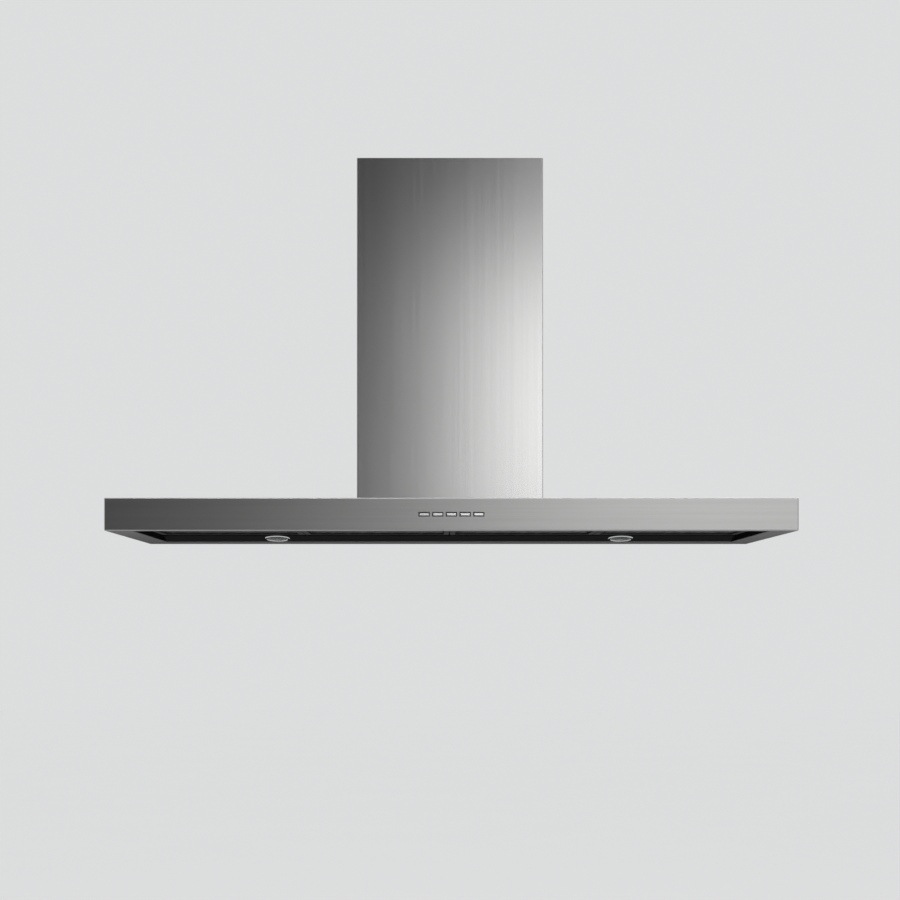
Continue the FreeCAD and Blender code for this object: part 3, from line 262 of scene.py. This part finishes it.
# The canopy: one sheet of 1 mm stainless steel, folded into a shallow box, welded at its corners
# and brushed lengthwise. A galvanised panel closes its back and two welded channels stiffen it.
SIDEWAYS = 0.7
BROAD_GRAIN = 0.16
COLOUR_SHARES = (0.4, 0.6, 0.3)
BLUR_SHARES = (0.02, 0.015, 0.02)


def brushed(name, streaks, turned_streaks, blur, low, high):
    """Brushed steel: noise drawn out along the grain shades colour, roughness and bump.

    The grain follows streaks, and turned_streaks on the faces that look sideways. Fine grain,
    broad grain and clouds each add their share to a middle, from which half the sum of the
    shares is taken, because noise is 0.5 on average."""
    steel = Finish(name, Metallic=1.0)
    aside = steel.node("SeparateXYZ", Vector=steel.node("TexCoord", output="Normal"), output="X")
    aside = aside.math("ABSOLUTE").math("GREATER_THAN", SIDEWAYS)

    def grain(size, detail):
        along = steel.noise(1.0, detail, steel.place(scale=[s * size for s in streaks]))
        across = steel.noise(1.0, detail, steel.place(scale=[s * size for s in turned_streaks]))
        return along * (1 - aside) + across * aside

    fine = grain(1.0, 3.0)
    broad = grain(BROAD_GRAIN, 2.0)
    cloud = steel.noise(2.6, 1.0)

    def swing(shares, middle):
        return fine * shares[0] + broad * shares[1] + cloud * shares[2] + (middle - sum(shares) / 2)

    steel.feed("Base Color", steel.mix(swing(COLOUR_SHARES, 0.5), low, high))
    steel.feed("Roughness", swing(BLUR_SHARES, blur))
    steel.relief(fine, 0.025, 0.0003)
    return steel


# The canopy's stainless is a darker grey than the chimney's: a shaded copy of one steel, painted
# shade.
canopy_steel = brushed("canopy_steel", streaks=(5, 850, 850), turned_streaks=(850, 5, 850),
                       blur=0.35, low=(0.295, 0.295, 0.29), high=(0.425, 0.425, 0.42))
dress(canopy_steel, "canopy_shell")


def galvanised(name):
    """Zinc coated sheet: each cell of a Voronoi pattern is one crystal with its own grey.

    The pattern gives each cell a colour, and the Math node takes its brightness."""
    zinc = Finish(name, Metallic=0.9)
    crystal = zinc.node("TexVoronoi", Vector=zinc.place(), Scale=95.0, output="Color")
    crystal = crystal.math("MULTIPLY", 1.0)
    stain = zinc.noise(7.0, 3.0)
    zinc.feed("Base Color", zinc.mix(crystal * 0.7 + stain * 0.3,
                                     (0.40, 0.415, 0.43), (0.57, 0.585, 0.60)))
    zinc.feed("Roughness", crystal * 0.16 + stain * 0.10 + 0.30)
    zinc.relief(zinc.noise(420.0, 2.0), 0.08, 0.0004)
    return zinc


zinc_sheet = galvanised("zinc_sheet")
dress(zinc_sheet, "canopy_back_panel", "top_stiffeners")


# The filter tray and the sloping lamp strip behind it: folded steel with a satin black enamel,
# spot welded by a foot to the canopy's lower flanges.
def enamel(name):
    """Satin black enamel: two scales of noise for dust and for the orange peel of the coat."""
    coat = Finish(name, Specular_IOR_Level=0.02)
    dust = coat.noise(38.0, 4.0, roughness=0.65)
    peel = coat.noise(900.0, 1.0)
    coat.feed("Base Color", coat.mix(dust, (0.003, 0.003, 0.003), (0.008, 0.008, 0.0078)))
    coat.feed("Roughness", dust * 0.15 + 0.55)
    coat.relief(peel, 0.10, 0.0003)
    return coat


dress(enamel("black_enamel"), "filter_tray", "lamp_panel")


# Each lamp: a turned and chromed bezel that is pressed through the strip from below, a frosted
# lens held in its rim, and a spun aluminium can over it. The pair leans with the strip.
LAMP_X = 0.334
LAMP_Y = -0.11225
LAMP_Z = 0.0055
LAMP_LEAN = math.atan2(9.0, 54.5)
LAMP_STEPS = 96
LENS_RINGS = 300
BEZEL_RIM = [(20.05, 0.3), (20.05, -0.5), (20.3, -0.85), (20.9, -1.1), (21.8, -1.2),
             (22.8, -1.18), (23.7, -1.05), (24.4, -0.8), (24.85, -0.45), (25.0, 0.0),
             (22.0, 0.0), (22.0, 5.0), (20.05, 5.0)]
LENS_EDGE = [(0.6, -0.7), (4.0, -0.69), (8.0, -0.65), (12.0, -0.58), (16.0, -0.47),
             (18.6, -0.36), (19.6, -0.2), (19.95, 0.05), (19.95, 0.7), (12.0, 0.7), (0.6, 0.7)]


def turned(profile, centre, steps, lean=0.0):
    """Rings of points: a profile of radii and heights in millimetres carried round an axis.

    A ring's points lie at the radius times the cosine and sine of the angle round the axis, at
    its height. The whole then leans towards the wall about X and moves to its centre."""
    radius, height = np.array(profile).T[:, :, None] / 1000
    angle = np.arange(steps) * 2 * math.pi / steps
    x = radius * np.cos(angle)
    y = radius * np.sin(angle)
    z = height + 0 * angle
    leaned = [x, y * math.cos(lean) + z * math.sin(lean), z * math.cos(lean) - y * math.sin(lean)]
    return np.stack(leaned, -1) + np.array(centre)


def skin(points, loop=False):
    """The points and faces of closed skins over rings of points.

    Each ring is joined to the next by four-sided faces. The first and last ring get a flat face
    each, or are joined to each other where loop is true. The sum of the tetrahedra from the
    origin to the faces is the volume, and where it is negative all faces are turned over."""
    rings, steps = points.shape[-3:-1]
    points = points.reshape(-1, rings, steps, 3)
    here = np.arange(points[..., 0].size).reshape(-1, rings, steps)
    beside = np.roll(here, -1, axis=2)
    ahead = np.roll(here, -1, axis=1)
    corner = np.roll(beside, -1, axis=1)
    stretch = slice(None) if loop else slice(-1)
    quads = np.stack([here, beside, corner, ahead], -1)[:, stretch].reshape(-1, 4)
    faces = [quads] if loop else [quads, np.concatenate([here[:, 0, ::-1], here[:, -1]])]
    flat = points.reshape(-1, 3)
    volume = 0.0
    for group in faces:
        spots = flat[group]
        volume += np.sum(spots[:, :1] * np.cross(spots[:, 1:-1], spots[:, 2:]))
    return flat, [group[:, ::-1] if volume < 0 else group for group in faces]


CREASE = math.radians(40)


def piece(name, skins, finish, body, slot, *nodes):
    """A finished piece from its skins, smooth but for creases, that stands for CAD nodes."""
    mesh = bpy.data.meshes.new(name)
    points = np.concatenate([spots for spots, faces in skins])
    starts = np.cumsum([0] + [len(spots) for spots, faces in skins])
    groups = [group + start for (spots, faces), start in zip(skins, starts) for group in faces]
    sizes = np.concatenate([np.full(len(group), group.shape[1]) for group in groups])
    mesh.vertices.add(len(points))
    mesh.vertices.foreach_set("co", points.astype(np.float32).ravel())
    mesh.loops.add(int(sizes.sum()))
    mesh.loops.foreach_set("vertex_index", np.concatenate([g.ravel() for g in groups]))
    mesh.polygons.add(len(sizes))
    mesh.polygons.foreach_set("loop_start", np.cumsum(sizes) - sizes)
    mesh.update(calc_edges=True)
    mesh.shade_smooth()
    mesh.set_sharp_from_angle(angle=CREASE)
    mesh.materials.append(finish.material)
    made = bpy.data.objects.new(name, mesh)
    bpy.context.scene.collection.objects.link(made)
    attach(made, body)
    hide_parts(*nodes)
    return made


chrome = Finish("chrome", Metallic=1.0)
breath = chrome.noise(160.0, 2.0)
chrome.feed("Base Color", chrome.mix(breath, (0.56, 0.56, 0.57), (0.66, 0.66, 0.66)))
chrome.feed("Roughness", breath * 0.06 + 0.05)

# The lens is moulded with rings, so many to the metre. Both lamps stand at the same distance left
# and right, so each spot's distance from its lamp's axis comes from the size of X.
frosted = Finish("frosted_lens", Transmission_Weight=0.55, IOR=1.46)
spot = frosted.node("TexCoord", output="Object")
aside = frosted.node("SeparateXYZ", Vector=spot, output="X").math("ABSOLUTE") - LAMP_X
behind = frosted.node("SeparateXYZ", Vector=spot, output="Y") - LAMP_Y
ring = (aside * aside + behind * behind).math("SQRT") * LENS_RINGS
ridge_and_painted_shade = ring - ring.math("FLOOR")
haze = frosted.noise(240.0, 2.0)
# The lens grey is darkened as painted shade, and each ring's colour runs from dark to light across
# its step, painted shade of the ridge; the same ramp also makes the bump.
frosted.feed("Base Color", frosted.mix(ridge_and_painted_shade * 0.7 + haze * 0.3,
                                       (0.30, 0.305, 0.305), (0.58, 0.59, 0.58)))
frosted.feed("Roughness", haze * 0.15 + 0.18)
frosted.relief(ridge_and_painted_shade, 0.5, 0.0005)


def aluminium(name, low, high):
    """Bare aluminium: soft stains in the grey, and the fine pits of a cast or spun skin."""
    metal = Finish(name, Metallic=1.0)
    stain = metal.noise(26.0, 3.0)
    pit = metal.noise(800.0, 2.0)
    metal.feed("Base Color", metal.mix(stain, low, high))
    metal.feed("Roughness", stain * 0.15 + pit * 0.10 + 0.33)
    metal.relief(pit, 0.15, 0.0003)
    return metal


cast_metal = aluminium("cast_aluminium", (0.52, 0.52, 0.53), (0.64, 0.64, 0.64))
for word, side in (("left", -1), ("right", 1)):
    centre = (side * LAMP_X, LAMP_Y, LAMP_Z)
    piece(f"bezel_{word}", [skin(turned(BEZEL_RIM, centre, LAMP_STEPS, LAMP_LEAN), loop=True)],
          chrome, "root", "chrome", f"lamp_bezel_{word}")
    piece(f"lens_{word}", [skin(turned(LENS_EDGE, centre, LAMP_STEPS, LAMP_LEAN))],
          frosted, "root", "frosted_lens", f"lamp_lens_{word}")
    dress(cast_metal, f"lamp_can_{word}")


# The controls: five satin metal caps in a row, each in a dark moulded collar that fills its
# window. Behind the panel stand their housing and the board with the five switches.
def moulded(name, low, high, gloss=0.5):
    """Moulded plastic: a fine even grain in the bump, and soft patches in colour and gloss."""
    plastic = Finish(name, Specular_IOR_Level=gloss)
    patch = plastic.noise(22.0, 2.0)
    grain = plastic.noise(2200.0, 1.0)
    plastic.feed("Base Color", plastic.mix(patch * 0.6 + grain * 0.4, low, high))
    plastic.feed("Roughness", patch * 0.12 + grain * 0.08 + 0.42)
    plastic.relief(grain, 0.12, 0.0002)
    return plastic


black_plastic = moulded("black_plastic", (0.014, 0.014, 0.014), (0.028, 0.028, 0.028), 0.3)
dress(black_plastic, "button_fascia", "control_housing")

BUTTON_COUNT = 5
BUTTON_PITCH = 23.6
BUTTON_LEVEL = 28.5
BUTTON_ROWS = [(-499.8, 7.0, 1.3, 0.35), (-499.8, 7.35, 1.62, 0.42), (-499.74, 7.64, 1.9, 0.5),
               (-499.58, 7.84, 2.1, 0.55), (-499.3, 7.94, 2.19, 0.6), (-496.8, 7.95, 2.2, 0.6),
               (-496.8, 8.85, 3.1, 0.5), (-495.8, 8.85, 3.1, 0.5), (-495.8, 1.5, 1.5, 1.5),
               (-490.8, 1.5, 1.5, 1.5), (-490.6, 1.3, 1.3, 1.3)]
CORNER_STEPS = 7


def rounded_rows(rows, centre, level):
    """Rings of points: rounded rectangles set one behind the other along Y.

    Each row gives, in millimetres, its place along Y, its half width, its half height and its
    corner radius. A ring is four quarter arcs of that radius round the inset corners."""
    depth, half, rise, radius = np.array(rows).T[:, :, None]
    angle = np.concatenate([np.linspace(q, q + 1, CORNER_STEPS) for q in range(4)]) * math.pi / 2
    quarter = np.repeat(np.arange(4), CORNER_STEPS)
    side = np.array([1, -1, -1, 1])[quarter]
    up = np.array([1, 1, -1, -1])[quarter]
    x = centre + side * (half - radius) + radius * np.cos(angle)
    z = level + up * (rise - radius) + radius * np.sin(angle)
    return np.stack([x, depth + 0 * angle, z], -1) / 1000


satin = Finish("satin_button", Metallic=1.0)
brush = satin.noise(1.0, 2.0, satin.place(scale=(60, 2600, 2600)))
satin.feed("Base Color", satin.mix(brush, (0.70, 0.70, 0.71), (0.84, 0.84, 0.84)))
satin.feed("Roughness", brush * 0.12 + 0.24)
satin.relief(brush, 0.08, 0.0002)

for number in range(1, BUTTON_COUNT + 1):
    centre = (number - (BUTTON_COUNT + 1) / 2) * BUTTON_PITCH
    piece(f"push_button_{number}", [skin(rounded_rows(BUTTON_ROWS, centre, BUTTON_LEVEL))],
          satin, f"button_{number}", "satin_button", f"button_{number}")


def circuit(name):
    """A circuit board: green varnish over the weave of the laminate, with lighter tracks.

    The tracks are the joints of a brick pattern."""
    board = Finish(name, Specular_IOR_Level=0.5)
    track = board.node("TexBrick", {"offset": 0.35}, Vector=board.place(turn=(math.pi / 2, 0, 0)),
                       Scale=55.0, Mortar_Size=0.03, Mortar_Smooth=0.1, output="Fac")
    weave = board.noise(500.0, 1.0, board.place(scale=(1, 1, 3)))
    green = board.mix(weave, (0.010, 0.085, 0.035), (0.018, 0.125, 0.055))
    board.feed("Base Color", board.mix(track, green, (0.05, 0.24, 0.10)))
    board.feed("Roughness", weave * 0.1 + 0.30)
    board.relief(track, 0.3, 0.0002)
    return board


circuit_green = circuit("circuit_green")
dress(circuit_green, "control_board")


# The four grease filters: each is a shallow aluminium tray, its grey painted near black as shade
# and dark reflection, hinged at the back on two pinned ears, with layers of bare expanded mesh
# rolled into its window. A sprung latch slides in its front border and snaps behind a keeper of
# spring steel.
FILTER_COUNT = 4
FILTER_PITCH = 276.5
MESH_HALF = 127.1
MESH_FRONT = -439.9
MESH_REAR = -158.1
MESH_LAYERS = [{"columns": 9, "rows": 20, "steps": 6, "level": 14.05, "rise": 1.15, "width": 1.5},
               {"columns": 36, "rows": 76, "steps": 4, "level": 15.9, "rise": 0.95, "width": 2.3}]
CREST_ROUNDING = 0.18


def strands(centre, columns, rows, steps, level, rise, width):
    """Strands of expanded mesh, all running along X, as rings of four points.

    A strand swings to and fro by half a row. Its wave is a cosine, raised by a small share and
    less that share of its cube, which rounds the crests. Each strand is out of step with its
    neighbours, so that they meet at the knots. A strand also tilts by a sine of the same
    length, as the slit and stretched sheet does."""
    row = np.arange(rows)[:, None]
    share = np.linspace(0, columns, columns * steps + 1)[None, :]
    step = (MESH_REAR - MESH_FRONT - width) / rows
    wave = np.cos(2 * math.pi * share)
    wave = (1 + CREST_ROUNDING) * wave - CREST_ROUNDING * wave ** 3
    flip = 1 - 2 * (row % 2)
    x = centre - MESH_HALF + 2 * MESH_HALF * share / columns + 0 * row
    y = MESH_FRONT + width / 2 + step * (row + 0.5) + flip * wave * step / 2
    tilt = 0.5 * rise * np.sin(2 * math.pi * share) * flip
    low = level + 0 * y
    high = low + rise
    half = width / 2
    ring = [(y - half, low + abs(tilt) * 0.5), (y + half, low + 0.5 * rise - tilt * 0.5),
            (y + half, high), (y - half, high - 0.5 * rise + tilt * 0.5)]
    return np.stack([np.stack([x, side, lift], -1) for side, lift in ring], 2) / 1000


def greased(name, low, high, blur):
    """Aluminium with a film of grease: stains in colour and gloss."""
    metal = Finish(name, Metallic=0.85)
    stain = metal.noise(18.0, 4.0, roughness=0.6)
    rub = metal.noise(120.0, 2.0, metal.place(scale=(1, 6, 6)))
    metal.feed("Base Color", metal.mix(stain * 0.6 + rub * 0.4, low, high))
    metal.feed("Roughness", stain * 0.14 + rub * 0.08 + blur)
    metal.relief(rub, 0.05, 0.0002)
    return metal


# The frames' near-black grey is painted shade and dark reflection laid over bare aluminium.
frame_painted_shade = greased("filter_frame", (0.03, 0.03, 0.03), (0.052, 0.052, 0.051), 0.42)
mesh_metal = greased("filter_mesh", (0.29, 0.29, 0.29), (0.52, 0.52, 0.512), 0.30)
latch_plastic = moulded("latch_plastic", (0.010, 0.010, 0.010), (0.022, 0.022, 0.022), 0.3)

spring_metal = Finish("spring_metal", Metallic=1.0)
straw = spring_metal.noise(90.0, 2.0)
spring_metal.feed("Base Color", spring_metal.mix(straw, (0.32, 0.31, 0.30), (0.46, 0.45, 0.42)))
spring_metal.feed("Roughness", straw * 0.15 + 0.25)

SPRING_GAUGE = 0.0005
SPRING_NOSE = 0.25
SPRING_STEPS = 33


def leaf_spring(low, high):
    """A bowed strip between two corners, as rings of four points from its left end to its right.

    With s from -1 to 1 along X, the bow stands back by the square root of s squared and the
    nose squared, less the nose, scaled so that its ends reach the rear corner."""
    s = np.linspace(-1, 1, SPRING_STEPS)
    full_bow = math.hypot(1, SPRING_NOSE) - SPRING_NOSE
    bow = (np.hypot(s, SPRING_NOSE) - SPRING_NOSE) / full_bow
    x = (low[0] + high[0]) / 2 + s * (high[0] - low[0]) / 2
    y = low[1] + bow * (high[1] - SPRING_GAUGE - low[1])
    ring = [(0, low[2]), (SPRING_GAUGE, low[2]), (SPRING_GAUGE, high[2]), (0, high[2])]
    return np.stack([np.stack([x, y + back, z + 0 * x], -1) for back, z in ring], 1)


for number in range(1, FILTER_COUNT + 1):
    centre = (number - (FILTER_COUNT + 1) / 2) * FILTER_PITCH
    layers = [skin(strands(centre, **layer)) for layer in MESH_LAYERS]
    piece(f"grease_mesh_{number}", layers, mesh_metal, f"filter_{number}", "filter_mesh",
          f"filter_{number}_mesh")
    dress(frame_painted_shade, f"filter_{number}_frame")
    dress(latch_plastic, f"filter_{number}_latch")
    low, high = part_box(f"filter_{number}_spring")
    spring = piece(f"leaf_spring_{number}", [skin(leaf_spring(low, high))], spring_metal,
                   f"filter_{number}", "spring_steel", f"filter_{number}_spring")
    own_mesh(spring)
dress(spring_metal, "filter_keepers")


# The chimney: two covers folded from 1 mm stainless sheet and brushed upright, the upper one
# sliding inside the lower. A galvanised bracket on the wall guides the upper one.
# The covers' stainless is a lighter grey than the canopy's: a lit copy of one steel, painted light.
chimney_steel = brushed("chimney_steel", streaks=(850, 850, 5), turned_streaks=(850, 850, 5),
                        blur=0.24, low=(0.41, 0.41, 0.405), high=(0.53, 0.53, 0.525))
dress(chimney_steel, "lower_flue_cover", "upper_flue_cover")
dress(zinc_sheet, "flue_bracket")

# The strong strip over the canopy's front edge is flagged off the covers, which would glare.
flagged = bpy.data.collections.new("flagged_covers")
for name in ("lower_flue_cover", "upper_flue_cover"):
    flagged.objects.link(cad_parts[name])
for member in flagged.collection_objects:
    member.light_linking.link_state = "EXCLUDE"
edge_strip.light_linking.receiver_collection = flagged


# The blower: a galvanised box on the canopy, with a moulded fan casing hung inside it in two
# halves. The double fan turns round its own motor, which a three-armed spider holds.
dress(zinc_sheet, "blower_box", "motor_spider")
dress(black_plastic, "scroll_casing_left", "scroll_casing_right", "fan_wheel")
dress(cast_metal, "motor")

foam = Finish("foam_gasket", Specular_IOR_Level=0.15)
cell = foam.node("TexVoronoi", Vector=foam.place(), Scale=1400.0)
foam.feed("Base Color", foam.mix(cell, (0.02, 0.02, 0.02), (0.06, 0.06, 0.06)))
foam.feed("Roughness", cell * 0.1 + 0.85)
foam.relief(cell, 0.6, 0.0004)
dress(foam, "throat_gasket")

plated = Finish("zinc_plated", Metallic=1.0)
passive = plated.noise(150.0, 3.0)
plated.feed("Base Color", plated.mix(passive, (0.55, 0.56, 0.58), (0.68, 0.67, 0.62)))
plated.feed("Roughness", passive * 0.14 + 0.24)
dress(plated, "motor_shaft", "damper_pin")


# The screws: pan heads with a cross recess, zinc plated. Four hold the box's foot to the canopy
# and four hang the fan casing from the box's top.
HEAD_RADIUS = 3.4
HEAD_HEIGHT = 2.2
SHANK = [(2.0, 0.0), (2.0, -7.4), (1.4, -8.0), (0.3, -8.0)]
SCREW_STEPS = 48
CROWN_INNER = (0.15, 2.4, 12)
CROWN_OUTER = (2.6, HEAD_RADIUS, 6)
CROWN_FALL = 0.55
CROSS_HALF = 0.55
CROSS_REACH = 2.0
CROSS_DEPTH = 1.1
CROSS_WALL = 0.2
CROSS_END = 0.3


def screw_skin(x, y, seat):
    """A pan head screw as rings of points round its axis, from the crown to the tip.

    The crown is a dome: its height falls with the fourth power of the radius. Inside the cross,
    where one of the two plan distances from the axis is small, the dome is sunk, with sloping
    walls and ends."""
    radius = np.concatenate([np.linspace(*CROWN_INNER), np.linspace(*CROWN_OUTER)])[:, None]
    angle = np.arange(SCREW_STEPS) * 2 * math.pi / SCREW_STEPS
    across = radius * np.cos(angle)
    along = radius * np.sin(angle)
    narrow = np.minimum(abs(across), abs(along))
    sunk = np.clip((CROSS_HALF - narrow) / CROSS_WALL, 0, 1)
    sunk = sunk * np.clip((CROSS_REACH - radius) / CROSS_END, 0, 1)
    height = HEAD_HEIGHT * (1 - CROWN_FALL * (radius / HEAD_RADIUS) ** 4) - sunk * CROSS_DEPTH
    crown = np.stack([across, along, height], -1) / 1000
    edge = [(HEAD_RADIUS, 0.25), (HEAD_RADIUS - 0.2, 0.0)]
    below = turned(edge + SHANK, (0, 0, 0), SCREW_STEPS)
    return skin(np.concatenate([crown, below]) + np.array([x, y, seat]) / 1000)


BOX_SCREWS = [(x, y, 58.0) for x in (-156.0, 156.0) for y in (-269.0, -11.0)]
THROAT_SCREWS = [(x, y, 357.0) for x in (-76.0, 76.0) for y in (-185.2, -94.8)]
piece("screws", [screw_skin(*spot) for spot in BOX_SCREWS + THROAT_SCREWS], plated, "root",
      "zinc_steel", "blower_screws")


# The duct collar: a moulded spigot with a flange below, a bead near its mouth and an inner ledge
# on which the two damper flaps close. Both flaps turn on one steel pin across it.
DUCT_Y = -0.14
COLLAR_STEPS = 128
COLLAR = [(73.0, 357.0), (82.5, 357.0), (82.5, 358.2), (82.2, 358.5), (75.6, 358.5),
          (74.9, 358.8), (74.5, 359.6), (74.5, 404.0), (73.9, 405.0), (73.9, 407.0),
          (74.5, 408.0), (74.5, 415.6), (74.2, 416.6), (73.75, 417.0), (73.3, 416.6),
          (73.0, 415.6), (73.0, 382.4), (70.5, 382.4), (70.5, 381.2), (73.0, 381.2)]
grey_plastic = moulded("grey_plastic", (0.20, 0.205, 0.21), (0.27, 0.275, 0.28))
piece("collar", [skin(turned(COLLAR, (0, DUCT_Y, 0), COLLAR_STEPS), loop=True)], grey_plastic,
      "root", "grey_plastic", "duct_collar")
dress(grey_plastic, "damper_flap_left", "damper_flap_right")


# The electronics: a moulded case beside the collar, with the power board and its capacitor in it.
# A gland in its lid holds the supply lead, and sheathed leads run down to motor and lamps.
dress(black_plastic, "electronics_case", "electronics_cover")
dress(circuit_green, "power_board")
dress(cast_metal, "capacitor")

GLAND_STEPS = 72
GLAND_SPOT = (0.12, -0.0925, 0.0)
GLAND_NUT = [(4.6, 406.6), (11.6, 406.6), (12.0, 407.0), (12.0, 409.1), (11.6, 409.5),
             (9.0, 409.5), (9.0, 411.2), (8.6, 412.0), (8.6, 418.6), (8.0, 420.6),
             (6.8, 422.0), (5.6, 422.5), (4.9, 422.3), (4.6, 421.6)]
GLAND_NECK = [(4.6, 402.0), (7.5, 402.0), (7.5, 406.6), (4.6, 406.6)]
FLATS_FROM = 9.5
RIBS_FROM = 8.0
RIBS_LOW = 411.5
RIBS_HIGH = 419.0
RIB_COUNT = 24
RIB_DEPTH = 0.03


def gland_nut():
    """The gland's nut: a turned profile whose wide rings are pressed to a hexagon.

    The hexagon's radius is its flat distance over the cosine of the angle from the middle of
    the nearest flat. The ribs take a cosine of the angle from the cap's radius."""
    rings = turned(GLAND_NUT, (0, 0, 0), GLAND_STEPS)
    radius, height = np.array(GLAND_NUT).T[:, :, None]
    angle = np.arange(GLAND_STEPS) * 2 * math.pi / GLAND_STEPS
    fold = (angle + math.pi / 6) % (math.pi / 3) - math.pi / 6
    hexagon = math.cos(math.pi / 6) / np.cos(fold)
    shape = np.where(radius > FLATS_FROM, hexagon, 1 + 0 * angle)
    ribs = 1 - RIB_DEPTH * (1 + np.cos(RIB_COUNT * angle)) / 2
    ribbed = (height > RIBS_LOW) & (height < RIBS_HIGH) & (radius > RIBS_FROM)
    rings[..., :2] *= np.where(ribbed, ribs, shape)[..., None]
    return rings + np.array(GLAND_SPOT)


piece("gland", [skin(gland_nut(), loop=True),
                skin(turned(GLAND_NECK, GLAND_SPOT, GLAND_STEPS), loop=True)],
      black_plastic, "root", "black_plastic", "cable_gland")

dress(moulded("lead_sheath", (0.05, 0.05, 0.052), (0.085, 0.085, 0.088)),
      "control_lead", "motor_lead", "lamp_leads")
